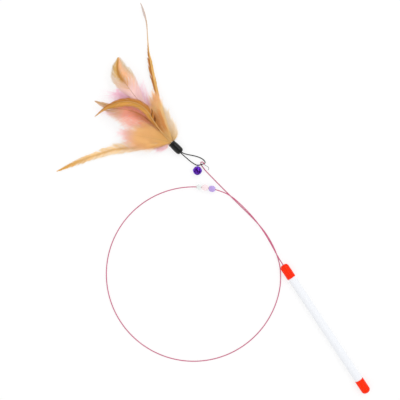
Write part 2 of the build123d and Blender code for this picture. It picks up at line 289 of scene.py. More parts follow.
class ShaderGroups:
    """Node groups that several finishes share, each built once."""

    # Grain: detail of both noises, the broad one's scale beside the fine one's, and its patches
    FINE_DETAIL = 5.0
    BROAD_DETAIL = 2.0
    BROAD_SCALE = 0.09
    PATCHES = (0.35, 0.7)

    # Plumage: inputs, then stretches and fades as shares of the shaft or of the vane
    PLUMAGE_COLOURS = ("Root", "Middle", "Tip", "Left", "Right", "Spine", "Fringe")
    PLUMAGE_MARKS = ("Along", "Reach", "Flank", "Strand")
    PLUMAGE_NUMBERS = ("Left Share", "Right Share", "Spine Share", "Fringe Share", "Streak", "Tint From",
                       "Left To", "Right To", "Spine From", "Spine To", "Fringe From", "Left Lean")
    WANDER = 0.12
    ROOT_TO_MIDDLE = (0.12, 0.5)
    MIDDLE_TO_TIP = (0.6, 0.95)
    TINT_FADE = 0.15
    FLANK_FADE = 0.1
    SPINE_EDGE = (0.02, 0.45)
    SPINE_START = 0.12
    SPINE_END = 0.2
    FRINGE_EDGE = (0.45, 1.0)
    FRINGE_START = 0.12
    DULLEST = 0.78
    GLEAM = 0.2

    made: dict[str, bpy.types.NodeTree] = {}

    @classmethod
    def start(cls, name: str, inputs: dict[str, str], outputs: dict[str, str]) -> NodeSketch:
        """Start a group with named sockets.

        Args:
            name: The group's name.
            inputs: Input names and socket types.
            outputs: Output names and socket types.

        Returns:
            A sketch of the group's tree.
        """
        tree = bpy.data.node_groups.new(name, "ShaderNodeTree")
        for label, kind in inputs.items():
            tree.interface.new_socket(label, in_out="INPUT", socket_type=kind)
        for label, kind in outputs.items():
            tree.interface.new_socket(label, in_out="OUTPUT", socket_type=kind)
        cls.made[name] = tree
        return NodeSketch(tree)

    @classmethod
    def grain(cls) -> bpy.types.NodeTree:
        """Moulded grain: broad mottling, a fine height and an uneven polish.

        Returns:
            The group's tree.
        """
        if "moulded_grain" in cls.made:
            return cls.made["moulded_grain"]
        inputs = {"Colour": "NodeSocketColor", "Deep": "NodeSocketColor", "Stretch": "NodeSocketVector"}
        inputs.update({name: "NodeSocketFloat" for name in ("Scale", "Mottle", "Polish", "Spread")})
        outputs = {"Colour": "NodeSocketColor", "Roughness": "NodeSocketFloat", "Height": "NodeSocketFloat"}
        sketch = cls.start("moulded_grain", inputs, outputs)
        source = sketch.add("NodeGroupInput").outputs
        stretched = sketch.add("ShaderNodeVectorMath", operation="MULTIPLY")
        sketch.join(sketch.add("ShaderNodeTexCoord").outputs["Object"], stretched.inputs[0])
        sketch.join(source["Stretch"], stretched.inputs[1])
        broad_scale = sketch.product(source["Scale"], cls.BROAD_SCALE)
        noises = []
        for scale, detail in ((source["Scale"], cls.FINE_DETAIL), (broad_scale, cls.BROAD_DETAIL)):
            noise = sketch.add("ShaderNodeTexNoise")
            sketch.fill(noise, {"Vector": stretched.outputs[0], "Scale": scale, "Detail": detail})
            noises.append(noise.outputs["Fac"])
        fine, broad = noises
        patch = sketch.product(sketch.ramp(broad, *cls.PATCHES), source["Mottle"])
        swing = sketch.product(sketch.calc("SUBTRACT", fine, 0.5), source["Spread"])
        sketch.fill(sketch.add("NodeGroupOutput"), {
            "Colour": sketch.blend(patch, source["Colour"], source["Deep"]),
            "Roughness": sketch.calc("ADD", source["Polish"], swing),
            "Height": fine})
        return cls.made["moulded_grain"]

    @classmethod
    def plumage(cls) -> bpy.types.NodeTree:
        """Plumage colour: dye along the shaft, across each flank, at the fringe and from barb to barb, with
        painted shade where a finish's flank or spine tint or a split barb's mark stands for shade.

        Returns:
            The group's tree.
        """
        if "plumage_dye_and_painted_shade" in cls.made:
            return cls.made["plumage_dye_and_painted_shade"]
        inputs = {name: "NodeSocketColor" for name in cls.PLUMAGE_COLOURS}
        inputs.update({name: "NodeSocketFloat" for name in cls.PLUMAGE_MARKS + cls.PLUMAGE_NUMBERS})
        outputs = {"Colour": "NodeSocketColor", "Roughness": "NodeSocketFloat"}
        sketch = cls.start("plumage_dye_and_painted_shade", inputs, outputs)
        source = sketch.add("NodeGroupInput").outputs
        own = sketch.calc("SUBTRACT", source["Strand"], 0.5)
        along = sketch.calc("ADD", source["Along"], sketch.product(own, cls.WANDER))
        body = sketch.blend(sketch.ramp(along, *cls.ROOT_TO_MIDDLE), source["Root"], source["Middle"])
        body = sketch.blend(sketch.ramp(along, *cls.MIDDLE_TO_TIP), body, source["Tip"])
        left_flank = sketch.ramp(sketch.product(source["Flank"], source["Reach"]), 0.0, Flank.LEFT.value)
        leaning = sketch.calc("SUBTRACT", along, sketch.product(left_flank, source["Left Lean"]))
        opening = sketch.fade(leaning, source["Tint From"], cls.TINT_FADE)
        for side, sign in (("Left", Flank.LEFT.value), ("Right", Flank.RIGHT.value)):
            closing = sketch.fade(along, source[f"{side} To"], cls.TINT_FADE)
            window = sketch.product(opening, sketch.rest(closing))
            flank = sketch.ramp(sketch.product(source["Flank"], sign), 0.0, cls.FLANK_FADE)
            body = sketch.blend(sketch.product(flank, source[f"{side} Share"], window), body, source[side])
        inner = sketch.rest(sketch.ramp(source["Reach"], *cls.SPINE_EDGE))
        lower = sketch.rest(sketch.fade(along, source["Spine To"], cls.SPINE_END))
        upper = sketch.fade(along, source["Spine From"], cls.SPINE_START)
        core = sketch.product(inner, lower, source["Spine Share"], upper)
        body = sketch.blend(core, body, source["Spine"])
        outer = sketch.ramp(source["Reach"], *cls.FRINGE_EDGE)
        fringed = sketch.fade(leaning, source["Fringe From"], cls.FRINGE_START)
        body = sketch.blend(sketch.product(outer, source["Fringe Share"], fringed), body, source["Fringe"])
        # Value from the strand mark: random tone from barb to barb, and painted shade on split barbs, whose
        # mark lies below nought
        light = sketch.calc("ADD", sketch.product(own, source["Streak"]), 1.0)
        shade = sketch.add("ShaderNodeHueSaturation")
        sketch.fill(shade, {"Color": body, "Value": light})
        gleam = sketch.product(source["Strand"], cls.GLEAM)
        sketch.fill(sketch.add("NodeGroupOutput"), {
            "Colour": shade.outputs["Color"],
            "Roughness": sketch.calc("SUBTRACT", cls.DULLEST, gleam)})
        return cls.made["plumage_dye_and_painted_shade"]


class FinishSketch(NodeSketch):
    """A new material whose Principled shader takes its colour and roughness from a shared group."""

    def __init__(self, name: str, tree: bpy.types.NodeTree, values: dict[str, object]) -> None:
        """Make the material, add the group and link it to the shader.

        Args:
            name: The material's name.
            tree: The shared group's tree.
            values: Names and values of the group's inputs.
        """
        self.material = bpy.data.materials.new(name)
        self.material.use_nodes = True
        super().__init__(self.material.node_tree)
        self.shader = self.tree.nodes["Principled BSDF"]
        self.group = self.add("ShaderNodeGroup", node_tree=tree)
        self.fill(self.group, values)
        self.fill(self.shader, {"Base Color": self.group.outputs["Colour"],
                                "Roughness": self.group.outputs["Roughness"]})


# Finishes


@dataclass(frozen=True)
class MouldedFinish:
    """A moulded, drawn or lacquered surface with a fine grain."""

    name: str
    colour: Colour
    deep: Colour
    polish: float
    spread: float = 0.08
    mottle: float = 0.35
    scale: float = 900.0
    stretch: Point = (1.0, 1.0, 1.0)
    relief: float = 0.08
    depth: float = 0.00004
    metallic: float = 0.0
    coat: float = 0.0
    coat_roughness: float = 0.08
    transmission: float = 0.0
    refraction: float = 1.46
    specular: float = 0.5

    def material(self) -> bpy.types.Material:
        """Build the finish's material.

        Returns:
            The new material.
        """
        sketch = FinishSketch(self.name, ShaderGroups.grain(), {
            "Colour": self.colour, "Deep": self.deep, "Stretch": self.stretch, "Scale": self.scale,
            "Mottle": self.mottle, "Polish": self.polish, "Spread": self.spread})
        bump = sketch.add("ShaderNodeBump")
        height = sketch.group.outputs["Height"]
        sketch.fill(bump, {"Strength": self.relief, "Distance": self.depth, "Height": height})
        sketch.fill(sketch.shader, {
            "Normal": bump.outputs["Normal"], "Metallic": self.metallic, "Coat Weight": self.coat,
            "Coat Roughness": self.coat_roughness, "Transmission Weight": self.transmission,
            "IOR": self.refraction, "Specular IOR Level": self.specular})
        return sketch.material


@dataclass(frozen=True)
class PlumageFinish:
    """Barbs coloured along the shaft and across the vane: mostly dye, with painted shade in some flank and
    spine tints.
    """

    name: str
    slot: Slot
    root: Colour
    middle: Colour
    tip: Colour
    fringe: Colour
    glow: Colour
    glow_share: float = 0.1
    fringe_share: float = 0.3
    left: Colour = BLACK
    left_share: float = 0.0
    right: Colour = BLACK
    right_share: float = 0.0
    spine: Colour = BLACK
    spine_share: float = 0.0
    tint_from: float = 0.25
    left_to: float = 2.0
    right_to: float = 2.0
    spine_from: float = -1.0
    spine_to: float = 2.0
    fringe_from: float = -1.0
    left_lean: float = 0.0
    streak: float = 0.3
    sheen: float = 0.2
    specular: float = 0.25

    def material(self) -> bpy.types.Material:
        """Build the plumage's material.

        Returns:
            The new material.
        """
        labels = ShaderGroups.PLUMAGE_COLOURS + ShaderGroups.PLUMAGE_NUMBERS
        values = {label: getattr(self, label.lower().replace(" ", "_")) for label in labels}
        sketch = FinishSketch(self.name, ShaderGroups.plumage(), values)
        for label in ShaderGroups.PLUMAGE_MARKS:
            reader = sketch.add("ShaderNodeAttribute", attribute_name=label.lower())
            sketch.join(reader.outputs["Fac"], sketch.group.inputs[label])
        sketch.fill(sketch.shader, {"Sheen Weight": self.sheen, "Specular IOR Level": self.specular})
        thin = sketch.add("ShaderNodeBsdfTranslucent")
        sketch.fill(thin, {"Color": self.glow})
        sketch.cover(self.glow_share, sketch.shader, thin)
        return sketch.material


TUBE_WHITE = MouldedFinish(
    "white_tube", tone(233, 235, 239), tone(223, 226, 231), polish=0.32, scale=420.0,
    stretch=(1.0, 0.06, 1.0), relief=0.12, coat=0.05, specular=0.3)
CAP_RED = MouldedFinish(
    "red_cap", tone(248, 46, 0), tone(228, 30, 0), polish=0.26, scale=700.0, relief=0.1, specular=0.14)
WIRE_PINK = MouldedFinish(
    "pink_coating", tone(196, 86, 124), tone(174, 64, 102), polish=0.34, scale=600.0,
    relief=0.1, coat=0.25)
STEEL = MouldedFinish(
    "bare_steel", tone(178, 178, 180), tone(140, 140, 144), polish=0.34, scale=1600.0,
    stretch=(1.0, 0.15, 1.0), metallic=1.0, mottle=0.5)
BEAD_LILAC = MouldedFinish(
    "lilac_bead", tone(198, 172, 236), tone(168, 140, 216), polish=0.12, scale=380.0,
    relief=0.05, coat=0.4, transmission=0.15)
BEAD_PINK = MouldedFinish(
    "pink_bead", tone(255, 236, 238), tone(254, 222, 228), polish=0.14, scale=380.0,
    relief=0.05, coat=0.3, transmission=0.12)
BEAD_CLEAR = MouldedFinish(
    "clear_bead", tone(242, 248, 246), tone(226, 238, 234), polish=0.12, scale=380.0,
    relief=0.05, coat=0.3, transmission=0.15)
CORD_BLACK = MouldedFinish(
    "black_cord", tone(16, 16, 16), tone(6, 6, 6), polish=0.7, scale=2600.0, relief=0.5,
    depth=0.00008, mottle=0.6, spread=0.2, specular=0.12)
BELL_PURPLE = MouldedFinish(
    "purple_bell", tone(104, 34, 196), tone(78, 20, 160), polish=0.14, scale=500.0, relief=0.06,
    metallic=0.95, coat=0.3, coat_roughness=0.05)
END_CAP_BLACK = MouldedFinish(
    "black_end_cap", tone(20, 20, 19), tone(10, 10, 10), polish=0.2, scale=520.0, relief=0.1,
    specular=0.35)
GLUE_AMBER = MouldedFinish(
    "amber_glue", tone(196, 170, 118), tone(160, 128, 74), polish=0.4, scale=500.0, relief=0.4)
QUILL_HORN = MouldedFinish(
    "quill_horn", tone(226, 186, 122), tone(190, 136, 70), polish=0.42, mottle=0.6)
QUILL_BROWN = MouldedFinish(
    "quill_brown", tone(170, 108, 48), tone(128, 74, 28), polish=0.42, mottle=0.6)

# Arched feather: the dark brown root is partly the base's own brown and partly painted shade where the vane
# curls away
ARCHED = PlumageFinish(
    "arched_plumage", Slot.GOLD_BROWN, root=tone(164, 92, 34), middle=tone(206, 140, 60),
    tip=tone(150, 88, 34), fringe=tone(178, 110, 40), left=tone(226, 166, 76), left_share=0.85,
    right=tone(200, 130, 46), right_share=0.9, spine=tone(160, 98, 34), spine_share=0.5,
    glow=tone(226, 158, 70), glow_share=0.08)
LONG = PlumageFinish(
    "long_plumage", Slot.GOLD, root=tone(244, 204, 130), middle=tone(234, 186, 112),
    tip=tone(208, 196, 198), fringe=tone(236, 196, 130), left=tone(180, 108, 30), left_share=0.95,
    right=tone(230, 180, 90), right_share=0.8, tint_from=0.3, left_to=0.62, right_to=0.62,
    glow=tone(240, 200, 140), glow_share=0.08)
# Broad feather: the dark gold spine band is partly the shaft line's own colour and partly painted shade of
# the curled vane beside it
BROAD = PlumageFinish(
    "broad_plumage", Slot.PEACH_BROWN, root=tone(255, 206, 226), middle=tone(255, 216, 212),
    tip=tone(226, 184, 112), fringe=tone(202, 172, 116), fringe_share=0.95, fringe_from=0.66,
    left=tone(222, 176, 92), left_share=0.9, left_lean=0.1, right=tone(250, 188, 130), right_share=0.9,
    spine=tone(190, 128, 44), spine_share=0.9, spine_from=0.66, tint_from=0.65, streak=0.25,
    glow=tone(255, 226, 200))
SALMON = PlumageFinish(
    "salmon_plumage", Slot.SALMON, root=tone(214, 136, 82), middle=tone(255, 168, 138),
    tip=tone(206, 168, 116), fringe=tone(252, 196, 168), spine=tone(202, 118, 66), spine_share=0.85,
    spine_to=0.5, left=tone(216, 176, 132), left_share=0.8, tint_from=0.66, streak=0.25,
    glow=tone(255, 214, 200))
LOW = PlumageFinish(
    "low_plumage", Slot.GOLD, root=tone(255, 222, 188), middle=tone(252, 216, 160),
    tip=tone(228, 170, 74), fringe=tone(254, 232, 190), fringe_share=0.5, spine=tone(206, 142, 58),
    spine_share=0.5, streak=0.25, glow=tone(254, 226, 180))
# Gold down: the brown band on the left flank, low to mid shaft, is painted shade beside the arched feather's
# quill
DOWN_GOLD = PlumageFinish(
    "gold_fluff", Slot.DOWN_GOLD, root=tone(242, 196, 120), middle=tone(255, 206, 140),
    tip=tone(255, 202, 146), fringe=tone(255, 232, 190), left=tone(234, 158, 76), left_share=0.9,
    tint_from=0.18, left_to=0.56, right=tone(255, 222, 158), right_share=0.8, right_to=0.66,
    streak=0.16, glow=tone(255, 230, 190))
DOWN_CREAM = PlumageFinish(
    "cream_fluff", Slot.DOWN_CREAM, root=tone(248, 212, 148), middle=tone(255, 234, 204),
    tip=tone(255, 244, 230), fringe=tone(255, 248, 242), fringe_share=0.4, streak=0.06,
    glow=tone(255, 244, 218), glow_share=0.12)
DOWN_PINK = PlumageFinish(
    "pink_fluff", Slot.DOWN_PINK, root=tone(255, 214, 208), middle=tone(255, 208, 222),
    tip=tone(255, 208, 226), fringe=tone(255, 226, 238), streak=0.06, glow=tone(255, 224, 230),
    glow_share=0.08)
DOWN_ROSE = PlumageFinish(
    "rose_fluff", Slot.DOWN_ROSE, root=tone(255, 214, 188), middle=tone(255, 214, 220),
    tip=tone(255, 222, 232), fringe=tone(255, 240, 244), fringe_share=0.4, streak=0.08,
    glow=tone(255, 230, 234))
DOWN_PEACH = PlumageFinish(
    "peach_fluff", Slot.DOWN_PEACH, root=tone(244, 190, 110), middle=tone(254, 200, 130),
    tip=tone(255, 210, 212), fringe=tone(255, 230, 220), fringe_share=0.4, streak=0.16,
    glow=tone(255, 230, 204))


# Shared modelling helpers


def dress(node: str, material: bpy.types.Material) -> None:
    """Give a solid of the frame its finish.

    Args:
        node: The solid's name.
        material: The finish's material.
    """
    solid = frame["nodes"][node]
    if not solid.material_slots:
        solid.data.materials.append(material)
    for place in solid.material_slots:
        place.material = material
    LOG.info("dressed %s with %s", node, material.name)


def smooth_line(places: np.ndarray, per_span: int) -> np.ndarray:
    """Run a smooth line through rows of values.

    Args:
        places: One row per place, with any number of columns.
        per_span: How many rows each span between two places gets.

    Returns:
        The rows of the line, which passes through every place.
    """
    padded = np.vstack([2 * places[0] - places[1], places, 2 * places[-1] - places[-2]])
    share = np.linspace(0.0, 1.0, per_span, endpoint=False)[:, None]
    rows = []
    for before, first, second, after in zip(padded, padded[1:], padded[2:], padded[3:]):
        bend = (2 * before - 5 * first + 4 * second - after) * share**2
        twist = (3 * (first - second) + after - before) * share**3
        rows.append(first + 0.5 * ((second - before) * share + bend + twist))
    return np.vstack(rows + [places[-1:]])


def unit_rows(rows: np.ndarray) -> np.ndarray:
    """Scale vectors in the last axis to length one."""
    return rows / np.maximum(np.linalg.norm(rows, axis=-1, keepdims=True), TINY)


def running_lengths(line: np.ndarray) -> np.ndarray:
    """Measure how far each point of a line lies from its start, along the line."""
    return np.concatenate([[0.0], np.cumsum(np.linalg.norm(np.diff(line, axis=0), axis=1))])


def new_mesh_piece(name: str, points: np.ndarray, faces: Faces) -> bpy.types.Object:
    """Make a mesh object at the origin from points and faces.

    Args:
        name: The piece's name.
        points: Its points, in metres.
        faces: Its faces, as indices of points.

    Returns:
        The new object.
    """
    mesh = bpy.data.meshes.new(name)
    mesh.from_pydata(points.reshape(-1, 3).tolist(), [], faces)
    mesh.update()
    piece = bpy.data.objects.new(name, mesh)
    bpy.context.scene.collection.objects.link(piece)
    return piece


def carried_frames(centres: np.ndarray, hint: Point) -> tuple[np.ndarray, np.ndarray]:
    """Carry a frame along a line without twisting it.

    Args:
        centres: The line's points.
        hint: A direction that the line's start doesn't follow.

    Returns:
        A direction to the side and a direction up at each point.
    """
    ways = unit_rows(np.gradient(centres, axis=0))
    side = unit_rows(np.cross(ways[0], hint))
    sides = []
    for way in ways:
        side = unit_rows(side - way * np.dot(side, way))
        sides.append(side)
    return np.array(sides), np.cross(sides, ways)


def tube_mesh(centres: np.ndarray, radii: np.ndarray, sides: int) -> tuple[np.ndarray, Faces]:
    """Make a closed round tube along a line.

    Args:
        centres: The line's points.
        radii: The tube's radius at each point.
        sides: How many sides the tube has.

    Returns:
        The tube's points and faces.
    """
    across, ups = carried_frames(centres, TUBE_HINT)
    turns = np.linspace(0.0, 2 * math.pi, sides, endpoint=False)[:, None]
    rims = np.cos(turns) * across[:, None] + np.sin(turns) * ups[:, None]
    rings = centres[:, None] + radii[:, None, None] * rims
    count = len(centres)
    faces: Faces = []
    for ring in range(count - 1):
        for corner in range(sides):
            here = ring * sides + corner
            beside = ring * sides + (corner + 1) % sides
            faces.append((here, here + sides, beside + sides, beside))
    faces.append(tuple(range(sides)))
    faces.append(tuple(reversed(range((count - 1) * sides, count * sides))))
    return rings.reshape(-1, 3), faces


def nurbs_line(name: str, route: Sequence[Point], radius: float) -> bpy.types.Object:
    """Make a smooth cord along a route.

    Args:
        name: The piece's name.
        route: The control points, in metres.
        radius: The cord's radius, or nought for a bare line.

    Returns:
        The new curve object.
    """
    curve = bpy.data.curves.new(name, "CURVE")
    curve.dimensions = "3D"
    spline = curve.splines.new("NURBS")
    spline.points.add(len(route) - 1)
    for knot, place in zip(spline.points, route):
        knot.co = (*place, 1.0)
    spline.order_u = CURVE_ORDER
    spline.use_endpoint_u = True
    spline.resolution_u = CURVE_STEPS
    curve.bevel_depth = radius
    curve.bevel_resolution = ROUND_STEPS
    curve.use_fill_caps = radius > 0
    piece = bpy.data.objects.new(name, curve)
    bpy.context.scene.collection.objects.link(piece)
    return piece


def line_points(route: Sequence[Point]) -> np.ndarray:
    """Read the points of a route's smooth line.

    Args:
        route: The control points, in metres.

    Returns:
        The line's points in order.
    """
    guide = nurbs_line("route_guide", route, 0.0)
    bpy.context.view_layer.update()
    mesh = bpy.data.meshes.new_from_object(guide.evaluated_get(bpy.context.evaluated_depsgraph_get()))
    points = np.array([vertex.co for vertex in mesh.vertices])
    bpy.data.meshes.remove(mesh)
    bpy.data.objects.remove(guide)
    return points


# Studio


@dataclass(frozen=True)
class Lamp:
    """A soft lamp: its place from the picture's centre and its width, in metres, and its watts."""

    name: str
    offset: Point
    width: float
    power: float

    def build(self, centre: Point) -> None:
        """Hang the lamp so that it faces the wand.

        Args:
            centre: The picture's centre, in metres.
        """
        data = bpy.data.lights.new(self.name, "AREA")
        data.size = self.width
        data.energy = self.power
        lamp = bpy.data.objects.new(self.name, data)
        lamp.location = Vector(centre) + Vector(self.offset)
        lamp.rotation_euler = (-Vector(self.offset)).to_track_quat("-Z", "Y").to_euler()
        bpy.context.scene.collection.objects.link(lamp)


@dataclass
class Studio:
    """Floor, light and camera: straight down on the wand, as it lies."""

    centre: Point = (-39.4 * MM, 286.6 * MM, 0.0)
    height: float = 1.15
    view_width: float = 470.8 * MM
    heading: float = math.radians(-33.46)
    lamps: tuple[Lamp, ...] = (
        Lamp("key", (0.75, 0.32, 0.95), 0.8, 3.4),
        Lamp("fill", (-0.8, -0.1, 0.9), 1.0, 1.6),
        Lamp("glint", (0.5, -0.4, 0.95), 0.34, 0.9))
    ambient: float = 0.88
    ceiling: float = 0.16
    ceiling_edge: Pair = (0.1, 0.8)
    floor_half: float = 3.0
    floor_gap: float = 0.02 * MM
    floor_colour: Colour = (0.96, 0.96, 0.96, 1.0)
    floor_roughness: float = 0.9
    floor_specular: float = 0.1
    floor_glow: float = 0.72

    def build(self) -> None:
        """Make the camera, the lamps, the world and the floor."""
        self.camera()
        for lamp in self.lamps:
            lamp.build(self.centre)
        self.world()
        self.floor()
        bpy.context.scene.view_settings.view_transform = "Standard"

    def camera(self) -> None:
        """Place the camera above the wand, turned as the picture is."""
        data = bpy.data.cameras.new("camera")
        data.angle = 2 * math.atan(self.view_width / 2 / self.height)
        eye = bpy.data.objects.new("camera", data)
        eye.location = (self.centre[0], self.centre[1], self.height)
        eye.rotation_euler = (0.0, 0.0, self.heading)
        bpy.context.scene.collection.objects.link(eye)
        bpy.context.scene.camera = eye

    @staticmethod
    def seen(sketch: NodeSketch) -> bpy.types.NodeSocket:
        """Tell rays that show a surface from rays that only carry its light.

        Args:
            sketch: The tree that the nodes go into.

        Returns:
            A socket that is one for camera, glossy and transmission rays.
        """
        path = sketch.add("ShaderNodeLightPath").outputs
        shown = sketch.calc("ADD", path["Is Camera Ray"], path["Is Glossy Ray"])
        total = sketch.calc("ADD", shown, path["Is Transmission Ray"])
        return sketch.calc("MINIMUM", total, 1.0)

    def world(self) -> None:
        """Make an even, pale surrounding, whose reflection darkens towards the ceiling."""
        world = bpy.data.worlds.new("studio")
        world.use_nodes = True
        bpy.context.scene.world = world
        sketch = NodeSketch(world.node_tree)
        plain = sketch.calc("ADD", sketch.product(self.seen(sketch), 1.0 - self.ambient), self.ambient)
        way = sketch.add("ShaderNodeSeparateXYZ")
        sketch.join(sketch.add("ShaderNodeTexCoord").outputs["Generated"], way.inputs[0])
        overhead = sketch.product(sketch.ramp(way.outputs["Z"], *self.ceiling_edge), 1.0 - self.ceiling)
        glossy = sketch.add("ShaderNodeLightPath").outputs["Is Glossy Ray"]
        strength = sketch.product(plain, sketch.rest(sketch.product(overhead, glossy)))
        sketch.fill(world.node_tree.nodes["Background"], {"Color": WHITE, "Strength": strength})

    def floor_material(self) -> bpy.types.Material:
        """Build the pale floor's material.

        Returns:
            The new material.
        """
        material = bpy.data.materials.new("pale_floor")
        material.use_nodes = True
        sketch = NodeSketch(material.node_tree)
        shader = sketch.tree.nodes["Principled BSDF"]
        sketch.fill(shader, {"Base Color": self.floor_colour, "Roughness": self.floor_roughness,
                             "Specular IOR Level": self.floor_specular})
        share = sketch.product(self.seen(sketch), self.floor_glow)
        sketch.cover(share, shader, sketch.add("ShaderNodeEmission"))
        return material

    def floor(self) -> None:
        """Lay the pale floor that the wand rests on."""
        place = (*self.centre[:2], FLOOR - self.floor_gap)
        bpy.ops.object.select_all(action="DESELECT")
        bpy.ops.mesh.primitive_plane_add(size=2 * self.floor_half, location=place)
        bpy.ops.object.transform_apply(location=True)
        slab = bpy.context.object
        slab.name = "floor"
        slab.data.materials.append(self.floor_material())


# Sub-assemblies


@dataclass
class Handle:
    """The white tube and its two push-on caps."""

    tube: str = "handle_tube"
    caps: tuple[str, ...] = ("front_cap", "rear_cap")

    def build(self) -> None:
        """Dress the tube and the caps."""
        dress(self.tube, TUBE_WHITE.material())
        red = CAP_RED.material()
        for cap in self.caps:
            dress(cap, red)


@dataclass
class SpringWire:
    """The coated wire: lead, loop, tail and hook, with its beads, stop and bare end."""

    diameter: float = 1.2
    cap_nose: float = 4.0
    stop_length: float = 4.5
    inner_length: float = 6.0
    loop_entry: Pair = (-10.0, 108.9)
    loop_radius: float = 103.0
    loop_first_angle: float = 40.0
    loop_corners: int = 19
    loop_step: float = 15.0
    hook_radius: float = 2.7
    hook_tilt: float = 51.0
    hook_leg: Pair = (-15.2, 151.3)
    hook_corners: int = 4
    hook_return: float = 1.6
    length: float = 0.8218
    beads: tuple[str, ...] = ("purple_bead", "pink_bead", "clear_bead")
    bare_steel: tuple[str, ...] = ("wire_tail", "wire_stop", "bell_pellet")
    exit_y: float = field(init=False)
    low: float = field(init=False)
    loop_centre: Vector = field(init=False)
    loop_axis: Vector = field(init=False)

    def __post_init__(self) -> None:
        """Take the exit, the floor and the loop's plane from the frame."""
        slide = joint("purple_bead_slide")
        self.exit_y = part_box("front_cap")[1].y / MM
        self.low = FLOOR_MM + self.diameter / 2
        self.loop_centre = Vector(slide["pos_m"]) / MM
        self.loop_axis = Vector(slide["axis"])

    def loop_place(self, x: float, y: float) -> Vector:
        """Lift a place to the loop's leaning plane.

        Args:
            x: Place across, in millimetres.
            y: Place along the handle's axis, in millimetres.

        Returns:
            The place on the plane.
        """
        across = x - self.loop_centre.x
        along = y - self.loop_centre.y
        rise = (self.loop_axis.x * across + self.loop_axis.y * along) / self.loop_axis.z
        return Vector((x, y, self.loop_centre.z - rise))

    def loop(self) -> list[Vector]:
        """Corners round the loop.

        Returns:
            The loop's control points, in millimetres.
        """
        half = self.loop_step / 2
        reach = self.loop_radius / math.cos(math.radians(half))
        corners = []
        for corner in range(self.loop_corners):
            angle = math.radians(self.loop_first_angle + half + self.loop_step * corner)
            x = self.loop_centre.x + reach * math.cos(angle)
            y = self.loop_centre.y + reach * math.sin(angle)
            corners.append(self.loop_place(x, y))
        return corners

    def hook(self) -> list[Vector]:
        """Corners of the hook's half turn and its short return.

        Returns:
            The hook's control points, in millimetres.
        """
        tilt = math.radians(self.hook_tilt)
        side = Vector((math.cos(tilt), 0.0, math.sin(tilt)))
        leg = Vector((self.hook_leg[0], self.exit_y + self.hook_leg[1], self.low))
        centre = leg + side * self.hook_radius
        step = math.pi / self.hook_corners
        reach = self.hook_radius / math.cos(step / 2)
        corners = []
        for corner in range(self.hook_corners):
            angle = step * (corner + 0.5)
            across = side * (-math.cos(angle) * reach)
            corners.append(centre + across + Vector((0.0, math.sin(angle) * reach, 0.0)))
        return corners + [centre + side * self.hook_radius - Vector((0.0, self.hook_return, 0.0))]

    def route(self) -> list[Point]:
        """The wire's whole route.

        Returns:
            Control points from the stop to the hook's end, in metres.
        """
        lead = [(0, 4, 0), (0.5, 14, -0.2), (1.7, 27, -0.65), (2.7, 43, -1.1), (2.3, 58.5, -1.4),
                (0.7, 72.5, -1.5), (-1.9, 85.5, -1.45), (-4.8, 97.2, -1.4)]
        low = self.low
        tail = [(-4.6, -2.5, low + 1.3), (0.6, 12.5, low + 0.4), (3.2, 27, low), (3.9, 43, low),
                (2.2, 58, low), (-0.7, 73, low), (-4.0, 88, low), (-7.2, 104, low), (-10.3, 119, low),
                (-13.0, 133, low), (-14.9, 143, low), (self.hook_leg[0], 148, low)]
        inner = self.exit_y - self.cap_nose - self.stop_length - self.inner_length
        places = [Vector((0.0, inner, 0.0))]
        places += [Vector((x, self.exit_y + y, z)) for x, y, z in lead]
        places.append(self.loop_place(self.loop_entry[0], self.exit_y + self.loop_entry[1]))
        places += self.loop()
        places += [Vector((x, self.exit_y + y, z)) for x, y, z in tail]
        return [tuple(place * MM) for place in places + self.hook()]

    def build(self) -> None:
        """Lay the wire and dress what is on it."""
        wire = nurbs_line("wand_wire_coated", self.route(), self.diameter / 2 * MM)
        wire.data.materials.append(WIRE_PINK.material())
        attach(wire, "wand")
        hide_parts("wand_wire")
        steel = STEEL.material()
        for node in self.bare_steel:
            dress(node, steel)
        for node, finish in zip(self.beads, (BEAD_LILAC, BEAD_PINK, BEAD_CLEAR)):
            dress(node, finish.material())


